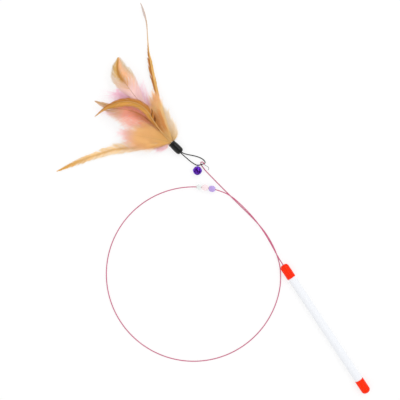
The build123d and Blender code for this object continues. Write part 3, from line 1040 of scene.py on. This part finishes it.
@dataclass
class Lanyard:
    """The black cord loop between the lure's neck and the hook, and the bell on it."""

    diameter: float = 1.1
    length: float = 0.0667
    hook_gap: float = 0.3
    neck_entry: float = 0.5
    neck_run: float = 2.2
    neck_spread: float = 1.1
    strand_gap: float = 0.14
    strands: int = 3
    swell: float = 1.36
    lay: float = 3.4
    rows: int = 240
    sides: int = 8
    shell: tuple[str, ...] = ("bell_crown", "bell_cup", "bell_ear")
    pellet: str = "bell_pellet"
    wire: SpringWire = field(default_factory=SpringWire)

    def route(self) -> list[Point]:
        """The cord's route through the bell's ear and the hook, and back.

        Returns:
            Control points, in metres.
        """
        exit_y = self.wire.exit_y
        low = FLOOR_MM + self.diameter / 2
        over = self.wire.low + self.wire.hook_radius * math.sin(math.radians(self.wire.hook_tilt))
        reach = self.wire.hook_radius - self.wire.diameter / 2 - self.diameter / 2 - self.hook_gap
        line_y = self.wire.hook_leg[1] + reach
        ear = Vector(joint("bell_swing")["pos_m"]) / MM
        first = [(-25.7, 169.0, low + 2.4), (-23.9, 162.5, low + 0.7), (-21.9, 157.3, low + 0.9),
                 (ear.x - 0.25, ear.y - exit_y + 0.35, ear.z - 0.1), (-16.6, line_y - 0.5, over + 0.25)]
        second = [(-10.5, line_y - 2.3, over - 0.25), (-9.3, 152.3, low + 1.0), (-10.2, 156.8, low + 0.2),
                  (-13.8, 162.2, low), (-17.8, 166.4, low + 0.3), (-21.8, 170.2, low + 1.6)]
        neck, way = lure_neck()
        side = Vector((way.y, -way.x, 0.0)) * ((self.diameter + self.strand_gap) / 2)
        inside = neck + way * self.neck_entry
        outside = neck - way * self.neck_run
        places = [inside - side, outside - side * self.neck_spread]
        places += [Vector((x, exit_y + y, z)) for x, y, z in first + second]
        places += [outside + side * self.neck_spread, inside + side]
        return [tuple(place * MM) for place in places]

    def twist(self, line: np.ndarray) -> tuple[np.ndarray, Faces]:
        """Lay the strands round the cord's line.

        Args:
            line: The points of the cord's line.

        Returns:
            The points and faces of all strands.
        """
        lengths = running_lengths(line)
        even = np.linspace(0.0, lengths[-1], self.rows)
        centres = np.stack([np.interp(even, lengths, line[:, axis]) for axis in range(3)], axis=1)
        sides, ups = carried_frames(centres, UP)
        strand = self.diameter / 2 * MM / (1 + 2 / math.sqrt(3))
        offset = strand * 2 / math.sqrt(3)
        radii = np.full(len(even), strand * self.swell)
        points = []
        faces: Faces = []
        for number in range(self.strands):
            turn = 2 * math.pi * (even / (self.lay * MM) + number / self.strands)
            shift = np.cos(turn)[:, None] * sides + np.sin(turn)[:, None] * ups
            tube, walls = tube_mesh(centres + offset * shift, radii, self.sides)
            start = sum(len(part) for part in points)
            points.append(tube)
            faces += [tuple(start + corner for corner in wall) for wall in walls]
        return np.vstack(points), faces

    def build(self) -> None:
        """Lay the cord and dress the knot and the bell."""
        line = line_points(self.route())
        cord = new_mesh_piece("lanyard_twisted", *self.twist(line))
        cord.data.shade_smooth()
        black = CORD_BLACK.material()
        cord.data.materials.append(black)
        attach(cord, "lanyard")
        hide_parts("lanyard_cord")
        dress("lanyard_knot", black)
        purple = BELL_PURPLE.material()
        for node in self.shell:
            dress(node, purple)


# Plumage


@dataclass(frozen=True)
class Station:
    """One place on a feather: from the end cap's mouth and above the floor, in millimetres."""

    x: float
    y: float
    height: float
    left: float
    right: float


def stations(*rows: tuple[float, float, float, float, float]) -> tuple[Station, ...]:
    """Make a feather's stations from rows of x, y, height, left and right."""
    return tuple(Station(*row) for row in rows)


@dataclass(frozen=True)
class Split:
    """A gap in a vane: its side, its place and half width on the shaft, and its barbs' turn in degrees."""

    flank: Flank
    place: float
    half: float
    turn: float


@dataclass
class Barbs:
    """The barbs of one feather: their lines, and the marks that their colours follow."""

    paths: np.ndarray
    lifts: np.ndarray
    widths: np.ndarray
    along: np.ndarray
    flank: np.ndarray
    strand: np.ndarray


class Spine:
    """A feather's smooth line, with the vane's reach on both sides."""

    ROWS_PER_SPAN = 24

    def __init__(self, places: np.ndarray) -> None:
        """Smooth the line through the stations.

        Args:
            places: Rows of x, y, z, left and right, in millimetres.
        """
        rows = smooth_line(places, self.ROWS_PER_SPAN)
        self.line = rows[:, :3]
        self.reaches = rows[:, 3:]
        self.widest_reaches = np.maximum.accumulate(self.reaches, axis=0)
        lengths = running_lengths(self.line)
        self.length = float(lengths[-1])
        self.marks = lengths / self.length
        self.ways = unit_rows(np.gradient(self.line, axis=0))

    def read(self, columns: np.ndarray, shares: np.ndarray) -> np.ndarray:
        """Read columns at shares of the line's length, with the columns in the last axis."""
        flat = [np.interp(shares, self.marks, columns[:, index]) for index in range(columns.shape[1])]
        return np.stack(flat, axis=-1)

    def frame_at(self, shares: np.ndarray) -> tuple[np.ndarray, np.ndarray, np.ndarray, np.ndarray]:
        """Give the line's frame at shares of its length.

        Args:
            shares: Places along the line, from nought to one.

        Returns:
            Centres, ways along the line, ways to its right and ways up.
        """
        ways = unit_rows(self.read(self.ways, shares))
        past_tip = np.maximum(shares - 1.0, 0.0) * self.length
        centres = self.read(self.line, shares) + ways * past_tip[..., None]
        sides = unit_rows(np.cross(ways, UP))
        return centres, ways, sides, np.cross(sides, ways)

    def on_side(self, reaches: np.ndarray, shares: np.ndarray, side: np.ndarray) -> np.ndarray:
        """Read the reach on the left, for a side below nought, or on the right."""
        both = np.maximum(self.read(reaches, shares), 0.0)
        return np.where(side > 0, both[..., 1], both[..., 0])

    def reach(self, shares: np.ndarray, side: np.ndarray) -> np.ndarray:
        """Give the vane's reach on one side."""
        return self.on_side(self.reaches, shares, side)

    def widest(self, shares: np.ndarray, side: np.ndarray) -> np.ndarray:
        """Give the greatest reach so far on one side, which never shrinks towards the tip."""
        return self.on_side(self.widest_reaches, shares, side)


@dataclass
class Feather(ABC):
    """One feather of the lure: a quill and its barbs, which are slim closed blades with a ridge on top.

    A blade has three corners on each ring and one point at its tip.
    """

    node: str
    seat: Pair
    finish: PlumageFinish
    stations: tuple[Station, ...]
    barbs: int
    seed: int
    bare: float
    slant: Pair = (46.0, 20.0)
    reach_share: float = 1.0
    rounds: int = 12
    rings: int = 6
    ridge: float = 0.45
    quill: Pair = (0.9, 0.2)
    quill_end: float = 0.99
    quill_taper: float = 1.4
    quill_rows: int = 90
    quill_sides: int = 8
    horn: MouldedFinish = QUILL_HORN
    map_half: float = 0.0015
    map_reach: float = 0.49

    @abstractmethod
    def lay(self, spine: Spine, draw: np.random.Generator) -> Barbs:
        """Lay the barbs along the spine, from one source of random numbers."""

    def steps(self) -> np.ndarray:
        """Give the rings' places on a barb, from its root to its tip, as a row."""
        return np.linspace(0.0, 1.0, self.rings)[None, :]

    def spine(self, mouth: Vector, way: Vector, inner: float) -> Spine:
        """Lay the feather's line from inside the end cap to its tip.

        Args:
            mouth: Centre of the end cap's mouth, in millimetres.
            way: The end cap's heading.
            inner: How far the quill goes into the end cap, in millimetres.

        Returns:
            The smooth line.
        """
        angle = math.radians(self.seat[0])
        across = Vector((way.y, -way.x, 0.0)) * (self.seat[1] * math.cos(angle))
        seat = mouth + across + Vector((0.0, 0.0, self.seat[1] * math.sin(angle)))
        rows = [[*(seat - way * inner), 0.0, 0.0], [*seat, 0.0, 0.0]]
        for place in self.stations:
            lift = FLOOR_MM + place.height
            rows.append([mouth.x + place.x, mouth.y + place.y, lift, place.left, place.right])
        return Spine(np.array(rows))

    def settle(self, spine: Spine, start: np.ndarray, side: np.ndarray, slant: np.ndarray,
               limit: np.ndarray | float) -> np.ndarray:
        """Find how far along the shaft each barb's tip comes, round by round.

        Args:
            spine: The feather's line.
            start: Where each barb leaves the shaft.
            side: Which side it goes to.
            slant: Its angle to the shaft, in radians.
            limit: How far along the shaft it may come.

        Returns:
            The tips' shares of the shaft.
        """
        end = start.copy()
        for _ in range(self.rounds):
            run = self.reach_share * spine.reach(end, side) / np.tan(slant) / spine.length
            end = 0.5 * (end + np.minimum(start + run, limit))
        return end

    def blades(self, barbs: Barbs) -> tuple[np.ndarray, Faces]:
        """Turn the barbs' lines into blades.

        Args:
            barbs: The barbs.

        Returns:
            The blades' points, in metres, and faces.
        """
        paths = barbs.paths
        count, rings = paths.shape[:2]
        ways = unit_rows(np.gradient(paths, axis=1))
        across = unit_rows(np.cross(ways, barbs.lifts))
        widths = barbs.widths[..., None]
        edge = across * widths
        top = np.cross(across, ways) * widths * self.ridge
        corners = np.stack([paths - edge, paths + edge, paths + top], axis=2)
        points = np.concatenate([corners[:, :-1].reshape(count, -1, 3), paths[:, -1:]], axis=1)
        sides = ((0, 1), (1, 2), (2, 0))
        pattern: Faces = [(0, 1, 2)]
        for base in range(0, 3 * (rings - 2), 3):
            for first, second in sides:
                pattern.append((base + first, base + 3 + first, base + 3 + second, base + second))
        last = 3 * (rings - 2)
        tip = last + 3
        pattern += [(last + first, tip, last + second) for first, second in sides]
        faces = [tuple(number * (tip + 1) + corner for corner in face)
                 for number in range(count) for face in pattern]
        return points * MM, faces

    @staticmethod
    def per_point(values: np.ndarray) -> np.ndarray:
        """Give every point of the blades its ring's value."""
        return np.concatenate([np.repeat(values[:, :-1], 3, axis=1), values[:, -1:]], axis=1)

    def mark(self, piece: bpy.types.Object, barbs: Barbs) -> None:
        """Store where each point lies on the feather, for its colours.

        Args:
            piece: The feather's barbs.
            barbs: The barbs' marks.
        """
        shape = barbs.along.shape
        marks = {
            "along": barbs.along,
            "reach": np.broadcast_to(self.steps(), shape),
            "flank": np.broadcast_to(barbs.flank[:, None], shape),
            "strand": np.broadcast_to(barbs.strand[:, None], shape),
        }
        for name, values in marks.items():
            layer = piece.data.attributes.new(name, "FLOAT", "POINT")
            layer.data.foreach_set("value", self.per_point(values).astype(np.float32).ravel())
        self.unfold(piece, marks["along"], marks["flank"] * marks["reach"])

    def unfold(self, piece: bpy.types.Object, along: np.ndarray, across: np.ndarray) -> None:
        """Lay the barbs flat on a map: along the shaft and across the vane.

        Args:
            piece: The feather's barbs.
            along: Each ring's share of the shaft.
            across: Each ring's share of the vane, from minus one to one.
        """
        shift = np.append(np.tile([-self.map_half, self.map_half, 0.0], self.rings - 1), 0.0)
        rows = 0.5 + self.map_reach * self.per_point(across)
        places = np.stack([self.per_point(along) + shift, rows], axis=-1).reshape(-1, 2)
        corners = np.empty(len(piece.data.loops), dtype=np.int32)
        piece.data.loops.foreach_get("vertex_index", corners)
        layer = piece.data.uv_layers.new(name=PLUMAGE_MAP)
        layer.uv.foreach_set("vector", places[corners].astype(np.float32).ravel())

    def shaft(self, spine: Spine) -> bpy.types.Object:
        """Model the tapering quill.

        Args:
            spine: The feather's line.

        Returns:
            The quill's piece.
        """
        shares = np.linspace(0.0, 1.0, self.quill_rows)
        centres = spine.frame_at(shares * self.quill_end)[0]
        radii = between(self.quill[::-1], (1 - shares) ** self.quill_taper) / 2
        tube = tube_mesh(centres * MM, radii * MM, self.quill_sides)
        shaft = new_mesh_piece(f"{self.node}_quill", *tube)
        shaft.data.shade_smooth()
        shaft.data.materials.append(self.horn.material())
        return shaft

    def build(self, mouth: Vector, way: Vector, inner: float) -> None:
        """Model the barbs and the quill and hang them on the lure.

        Args:
            mouth: Centre of the end cap's mouth, in millimetres.
            way: The end cap's heading.
            inner: How far the quill goes into the end cap, in millimetres.
        """
        spine = self.spine(mouth, way, inner)
        barbs = self.lay(spine, np.random.default_rng(self.seed))
        plumage = new_mesh_piece(f"{self.node}_barbs", *self.blades(barbs))
        self.mark(plumage, barbs)
        plumage.data.materials.append(self.finish.material())
        for piece in (plumage, self.shaft(spine)):
            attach(piece, "lure")
        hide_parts(self.node)
        LOG.info("%s: %d barbs, %d faces", self.node, len(barbs.flank), len(plumage.data.polygons))


@dataclass
class VanedFeather(Feather):
    """A feather whose barbs close to a vane, in clumps that part at its edge."""

    camber: float = 0.16
    camber_turn: float = 0.35
    ragged: float = 0.12
    stray: float = 0.015
    stray_length: float = 1.15
    stray_rise: float = 0.6
    splits: tuple[Split, ...] = ()
    # Strand mark of the barbs at a split, below the random range so that their value drops: painted shade of
    # slivers that curl away
    split_painted_shade: float = -1.0
    last_barb: float = 0.985
    clump_chance: float = 0.12
    clump_trim: float = 0.7
    clump_pull: float = 0.5
    clump_rise: float = 0.35
    clump_tone: float = 0.55
    barb_rise: float = 0.25
    barb_width: float = 0.55
    barb_taper: float = 0.45
    along_curve: float = 1.2
    reach_curve: float = 0.88

    def slants(self, start: np.ndarray, side: np.ndarray) -> tuple[np.ndarray, np.ndarray]:
        """Turn the barbs, more at the splits.

        Args:
            start: Where each barb leaves the shaft.
            side: Which side it goes to.

        Returns:
            The barbs' angles to the shaft, in radians, and which barbs stand apart.
        """
        slant = np.radians(between(self.slant, (start - self.bare) / (1 - self.bare)))
        apart = np.zeros(len(start), dtype=bool)
        for split in self.splits:
            near = (side == split.flank.value) & (np.abs(start - split.place) < split.half)
            slant = np.where(near, slant + math.radians(split.turn), slant)
            apart |= near
        return slant, apart

    def lay(self, spine: Spine, draw: np.random.Generator) -> Barbs:
        """Lay the vane's barbs.

        Args:
            spine: The feather's line.
            draw: Source of random numbers.

        Returns:
            The barbs' lines and marks.
        """
        start = np.tile(np.linspace(self.bare, self.last_barb, self.barbs), 2)
        side = np.repeat([Flank.LEFT.value, Flank.RIGHT.value], self.barbs)
        count = len(start)
        slant, apart = self.slants(start, side)
        end = self.settle(spine, start, side, slant, 1.0)
        clump = np.cumsum(draw.random(count) < self.clump_chance)
        clump_draw = draw.random(clump[-1] + 1)[clump]
        middle = (np.bincount(clump, start) / np.maximum(np.bincount(clump), 1))[clump]
        trim = 1 - self.ragged * draw.random(count) ** 2 - self.ragged * self.clump_trim * clump_draw
        loose = draw.random(count) < self.stray
        trim = np.where(loose | apart, self.stray_length, trim)
        step = self.steps()
        pull = (self.clump_pull * (middle - start))[:, None] * step**2
        along = start[:, None] + (end - start)[:, None] * step**self.along_curve + pull
        along = np.clip(along, 0.0, 1.0)
        reach = (self.reach_share * spine.reach(end, side) * trim)[:, None] * step**self.reach_curve
        centres, _, sides, lifts = spine.frame_at(along)
        rise = self.barb_rise * draw.random(count) + self.clump_rise * (clump_draw - 0.5)
        rise = (rise + self.stray_rise * loose)[:, None] * step
        rise = rise + self.camber * reach * (self.camber_turn - step)
        paths = centres + sides * (side[:, None] * reach)[..., None] + lifts * rise[..., None]
        gap = spine.length * (1 - self.bare) / self.barbs
        widths = np.repeat(self.barb_width * gap * (1 - self.barb_taper * step), count, axis=0)
        strand = self.clump_tone * clump_draw + (1 - self.clump_tone) * draw.random(count)
        # Barbs at a split take the painted-shade mark instead of their random tone
        return Barbs(paths, lifts, widths, along, side, np.where(apart, self.split_painted_shade, strand))


@dataclass
class DownTuft(Feather):
    """A tuft of loose, waving barbs, in small tufts on several plumes that fan out."""

    reach_share: float = 0.62
    rounds: int = 8
    quill_end: float = 0.7
    tufts: int = 160
    tuft_scatter: float = 0.25
    tuft_tone: float = 0.5
    plumes: int = 5
    plume_wander: float = 0.12
    fan: float = 0.5
    fan_drop: float = 0.2
    bank: float = 0.0
    spread: Pair = (-20.0, 50.0)
    root_end: float = 0.95
    root_limit: float = 0.97
    root_scatter: float = 0.05
    tip_overrun: float = 0.03
    wisps: float = 0.16
    wisp_length: Pair = (1.0, 1.5)
    wisp_width: float = 0.6
    barb_length: Pair = (0.25, 1.1)
    barb_bias: Pair = (1.9, 1.8)
    barb_width: Pair = (0.7, 1.3)
    barb_taper: float = 0.7
    strand_width: float = 0.16
    along_curve: float = 1.1
    reach_curve: float = 0.92
    wave_turns: Pair = (3.0, 8.0)
    wave_phase: Pair = (0.0, 6.3)
    wave_height: Pair = (0.3, 1.6)
    curl: float = 0.18
    sag: float = 0.22
    floor_gap: Pair = (0.25, 0.65)

    def vary(self, ends: Pair, draw: np.random.Generator) -> np.ndarray:
        """Draw a value between two ends for each barb, as a column."""
        return between(ends, draw.random((self.barbs, 1)))

    def scatter(self, shares: np.ndarray, draw: np.random.Generator) -> np.ndarray:
        """Let each barb stray a little from its tuft's share."""
        return np.clip(shares + self.tuft_scatter * draw.normal(size=self.barbs), 0.0, 1.0)

    def lay(self, spine: Spine, draw: np.random.Generator) -> Barbs:
        """Lay the tuft's barbs.

        Args:
            spine: The tuft's line.
            draw: Source of random numbers.

        Returns:
            The barbs' lines and marks.
        """
        count = self.barbs
        tuft = draw.integers(0, self.tufts, count)
        root, lean, lift = draw.random((3, self.tufts))[:, tuft]
        fans = np.linspace(-1.0, 1.0, self.plumes)
        lengths = 1.0 - self.fan_drop * np.abs(fans) - self.plume_wander * draw.random(self.plumes)
        plume = draw.integers(0, self.plumes, self.tufts)[tuft]
        fan = fans[plume][:, None]
        length = lengths[plume]
        start = self.bare + (self.root_end * length - self.bare) * root
        start = start + self.root_scatter * draw.normal(size=count)
        start = np.clip(start, self.bare, self.root_limit * length)
        side = np.where(draw.random(self.tufts) < 0.5, Flank.LEFT.value, Flank.RIGHT.value)[tuft]
        slant = np.radians(between(self.slant[::-1], self.scatter(lean, draw)))
        end = self.settle(spine, start, side, slant, length + self.tip_overrun)
        wisp = draw.random(count) < self.wisps
        wispy = between(self.wisp_length, draw.random(count))
        trim = np.where(wisp, wispy, between(self.barb_length, draw.beta(*self.barb_bias, count)))
        swing = np.radians(between(self.spread, self.scatter(lift, draw)) - self.bank * side)
        step = self.steps()
        along = start[:, None] + ((end - start) * trim)[:, None] * step**self.along_curve
        reach = (self.reach_share * spine.reach(end, side) * trim)[:, None] * step**self.reach_curve
        drift = self.fan * fan * spine.widest(along, fan)
        centres, ways, sides, lifts = spine.frame_at(along)
        wave = np.sin(step * self.vary(self.wave_turns, draw) + self.vary(self.wave_phase, draw))
        wave = wave * step * self.vary(self.wave_height, draw)
        curl = draw.normal(size=(count, 1)) * self.curl * reach * step
        out = sides * (side * np.cos(swing))[:, None, None] + lifts * np.sin(swing)[:, None, None]
        sag = -self.sag * reach * step - math.tan(math.radians(self.bank)) * drift
        paths = centres + sides * drift[..., None] + out * reach[..., None]
        paths = paths + ways * (wave + curl)[..., None] + lifts * sag[..., None]
        paths[..., 2] = np.maximum(paths[..., 2], FLOOR_MM + self.vary(self.floor_gap, draw))
        slim = np.where(wisp, self.wisp_width, 1.0)[:, None] * self.vary(self.barb_width, draw)
        widths = self.strand_width / 2 * slim * (1 - self.barb_taper * step)
        strand = self.tuft_tone * root + (1 - self.tuft_tone) * draw.random(count)
        return Barbs(paths, lifts, widths, np.clip(along, 0.0, 1.0), side, strand)


@dataclass
class EndCap:
    """The black cup that gathers the quills: a rolled rim, a slight barrel and a round shoulder."""

    node: str = "end_cap"
    length: float = 16.0
    radius: float = 4.75
    mouth_radius: float = 4.4
    rim: float = 4.62
    groove: float = 4.16
    inside: float = 3.96
    neck_wall: float = 2.2
    neck_hole: float = 1.4
    sides: int = 72
    weld: float = 0.001
    crease_angle: float = 50.0

    def profile(self) -> list[Pair]:
        """Half section of the cup.

        Returns:
            Places from the neck and radii, in millimetres, round the wall from the neck's face.
        """
        shoulder = [(0.0, 1.9), (0.12, 2.6), (0.5, 3.35), (1.1, 3.95), (2.0, 4.4), (3.4, 4.66)]
        barrel = [(6.0, self.radius), (9.0, self.radius), (11.6, 4.62), (13.4, self.mouth_radius)]
        rim = [(13.7, 4.26), (13.95, self.groove), (14.2, 4.26), (14.4, 4.5), (14.8, self.rim),
               (15.5, self.rim), (15.85, 4.52), (self.length, 4.3), (15.9, 4.08), (15.6, self.inside)]
        inner = [(4.2, self.inside), (3.2, 3.7), (2.5, 3.0), (self.neck_wall, 2.0)]
        neck = [(2.1, 1.5), (1.9, self.neck_hole), (0.25, self.neck_hole), (0.06, 1.55)]
        return shoulder + barrel + rim + inner + neck

    def build(self, neck: Vector, way: Vector) -> None:
        """Draw the half section, spin it round the axis and dress it.

        Args:
            neck: Centre of the neck's face, in millimetres.
            way: The cup's heading.
        """
        up = Vector(UP)
        places = [(neck + way * along + up * radius) * MM for along, radius in self.profile()]
        bpy.ops.object.select_all(action="DESELECT")
        bpy.ops.mesh.primitive_plane_add(size=MM, location=places[0])
        cup = bpy.context.object
        cup.name = "end_cap_turned"
        bpy.ops.object.mode_set(mode="EDIT")
        bpy.ops.mesh.merge(type="CENTER")
        for here, there in zip(places, places[1:] + places[:1]):
            bpy.ops.mesh.extrude_region_move(TRANSFORM_OT_translate={"value": there - here})
        bpy.ops.mesh.select_all(action="SELECT")
        bpy.ops.mesh.spin(steps=self.sides, angle=2 * math.pi, center=neck * MM, axis=way)
        bpy.ops.mesh.select_all(action="SELECT")
        bpy.ops.mesh.remove_doubles(threshold=self.weld * MM)
        bpy.ops.mesh.normals_make_consistent(inside=False)
        bpy.ops.object.mode_set(mode="OBJECT")
        bpy.ops.object.transform_apply(location=True)
        bpy.ops.object.shade_smooth_by_angle(angle=math.radians(self.crease_angle))
        cup.data.materials.append(END_CAP_BLACK.material())
        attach(cup, "lure")
        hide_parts(self.node)


@dataclass
class Lure:
    """The black end cap with its glue and its plumage."""

    cap: EndCap = field(default_factory=EndCap)
    quill_inner: float = 6.0
    ring: float = 2.7
    core: float = 0.75

    def feathers(self) -> list[Feather]:
        """List the feathers, from the floor up.

        Returns:
            The lure's feathers and tufts of down.
        """
        return [
            DownTuft("pink_down", (-88, self.ring), DOWN_PINK, stations(
                (-2.6, 23.0, 4.4, 5.0, 5.0), (-7.6, 53.0, 7.6, 15.0, 16.0), (-12.2, 74.0, 10.0, 30.0, 22.0),
                (-15.0, 88.0, 11.0, 26.0, 15.0), (-17.0, 100.0, 10.6, 8.0, 4.0)),
                barbs=5600, seed=11, bare=0.2, slant=(64.0, 18.0), spread=(-14.0, 8.0), strand_width=0.13,
                bank=7.0),
            DownTuft("cream_down", (-40, self.ring), DOWN_CREAM, stations(
                (5.4, 6.0, 5.6, 5.0, 7.4), (8.2, 15.0, 7.4, 6.0, 8.2), (10.6, 27.0, 8.0, 5.4, 6.4),
                (13.0, 39.0, 8.0, 4.6, 5.6), (15.6, 54.0, 7.4, 2.0, 2.4)),
                barbs=4200, seed=12, bare=0.08, slant=(60.0, 16.0), spread=(-10.0, 40.0), plumes=7,
                fan_drop=0.24),
            DownTuft("rose_down", (180, self.ring), DOWN_ROSE, stations(
                (-5.0, 2.0, 5.6, 4.0, 4.0), (-11.0, 3.5, 5.6, 6.5, 5.0), (-18.0, 7.0, 5.4, 6.0, 4.0),
                (-25.0, 11.5, 5.0, 2.0, 2.0)),
                barbs=2600, seed=13, bare=0.15, slant=(66.0, 20.0), spread=(-20.0, 15.0), strand_width=0.13),
            VanedFeather("low_feather", (-135, self.ring), LOW, stations(
                (-23.1, 11.1, 2.8, 3.0, 5.0), (-38.8, 19.4, 2.6, 5.4, 9.0), (-50.4, 25.6, 2.5, 6.6, 9.4),
                (-62.4, 31.4, 2.4, 6.4, 7.2), (-86.0, 38.4, 2.3, 5.0, 4.6), (-101.7, 41.8, 2.2, 4.2, 4.0),
                (-118.2, 44.6, 2.0, 2.5, 2.5), (-133.2, 47.2, 1.6, 0.3, 0.3)),
                barbs=440, seed=14, bare=0.16, ragged=0.2, camber=0.1, stray=0.05),
            VanedFeather("long_feather", (5, self.ring), LONG, stations(
                (7.9, 30.0, 5.0, 0.8, 1.0), (16.1, 54.2, 5.0, 2.0, 2.8), (25.2, 77.9, 5.0, 3.8, 3.0),
                (31.8, 93.3, 5.0, 3.8, 2.6), (37.3, 105.2, 5.0, 1.6, 0.9), (45.9, 120.6, 5.0, 0.7, 0.7),
                (54.0, 135.0, 5.0, 1.2, 0.7), (58.7, 147.5, 5.0, 2.4, 0.6), (61.0, 159.1, 4.5, 0.3, 0.2)),
                barbs=520, seed=15, bare=0.2, slant=(24.0, 12.0), ragged=0.18, camber=0.1, quill=(0.9, 0.4)),
            VanedFeather("salmon_feather", (-150, self.core), SALMON, stations(
                (-3.5, 19.0, 8.6, 3.0, 2.0), (-6.1, 31.9, 11.0, 11.0, 4.0), (-12.9, 48.7, 13.0, 19.0, 6.0),
                (-22.7, 61.1, 13.4, 23.0, 7.0), (-34.1, 70.9, 12.6, 15.0, 6.0), (-39.9, 78.8, 11.6, 7.0, 4.0),
                (-48.6, 91.3, 10.0, 0.3, 0.3)),
                barbs=560, seed=16, bare=0.14, slant=(56.0, 24.0), camber=0.05, ragged=0.24, stray=0.04,
                horn=QUILL_BROWN),
            DownTuft("peach_down", (135, self.ring), DOWN_PEACH, stations(
                (-2.6, 3.4, 7.4, 4.0, 4.0), (-7.0, 8.0, 8.6, 8.0, 9.0), (-15.0, 16.0, 11.0, 14.0, 16.0),
                (-24.0, 24.5, 12.8, 15.0, 18.0), (-33.0, 32.5, 13.6, 13.0, 16.0),
                (-42.5, 40.0, 13.6, 9.0, 10.0), (-51.0, 46.0, 13.0, 3.0, 4.0)),
                barbs=7000, seed=17, bare=0.08, slant=(66.0, 18.0), spread=(-30.0, 8.0), wisps=0.22, plumes=9,
                fan_drop=0.26),
            VanedFeather("broad_feather", (60, self.core), BROAD, stations(
                (-1.6, 21.8, 9.0, 1.0, 1.0), (-3.6, 48.3, 10.5, 2.0, 2.5), (-5.6, 70.5, 11.5, 6.0, 10.0),
                (-6.6, 87.9, 12.5, 11.5, 15.4), (-7.9, 97.8, 13.0, 11.5, 17.0),
                (-4.4, 108.0, 13.0, 7.5, 15.0), (0.2, 113.6, 12.4, 3.6, 9.2), (4.0, 118.6, 11.5, 0.3, 0.5)),
                barbs=560, seed=18, bare=0.36, slant=(42.0, 26.0), ragged=0.07, stray=0.012,
                horn=QUILL_BROWN),
            DownTuft("gold_down", (45, self.ring), DOWN_GOLD, stations(
                (1.4, 4.6, 7.2, 4.0, 2.4), (3.6, 14.0, 8.4, 6.5, 3.0), (6.6, 30.0, 9.6, 10.0, 4.4),
                (10.2, 46.0, 10.0, 10.0, 6.2), (13.8, 57.0, 9.6, 7.0, 7.0), (17.0, 67.0, 9.0, 2.0, 3.0)),
                barbs=6400, seed=19, bare=0.08, slant=(52.0, 12.0), spread=(-20.0, 35.0)),
            VanedFeather("arched_feather", (90, self.ring), ARCHED, stations(
                (-2.9, 19.6, 12.5, 1.2, 1.2), (-3.1, 34.8, 16.0, 4.0, 3.8), (-2.8, 43.5, 18.0, 5.2, 5.0),
                (-4.6, 52.2, 19.5, 5.6, 5.4), (-8.9, 60.5, 20.0, 5.8, 5.2), (-17.0, 68.3, 19.5, 6.2, 4.4),
                (-27.2, 73.1, 18.5, 6.2, 3.6), (-39.2, 75.3, 17.0, 3.2, 2.5), (-47.6, 75.4, 15.5, 1.6, 1.4),
                (-59.0, 74.3, 14.0, 0.3, 0.3)),
                barbs=500, seed=20, bare=0.2, slant=(34.0, 18.0), ragged=0.06, quill=(1.1, 0.3),
                splits=(Split(Flank.RIGHT, 0.31, 0.016, 9.0), Split(Flank.RIGHT, 0.365, 0.012, 7.0))),
        ]

    def build(self) -> None:
        """Model the end cap and the plumage and dress the glue."""
        dress("quill_glue", GLUE_AMBER.material())
        neck, way = lure_neck()
        self.cap.build(neck, way)
        mouth = neck + way * self.cap.length
        for feather in self.feathers():
            feather.build(mouth, way, self.quill_inner)


def main() -> None:
    """Build the studio and the wand's sub-assemblies in order."""
    logging.basicConfig(level=logging.INFO, format="%(name)s: %(message)s")
    for part in (Studio(), SpringWire(), Lanyard(), Handle(), Lure()):
        part.build()
        LOG.info("built %s", type(part).__name__)


if __name__ == "__main__":
    main()
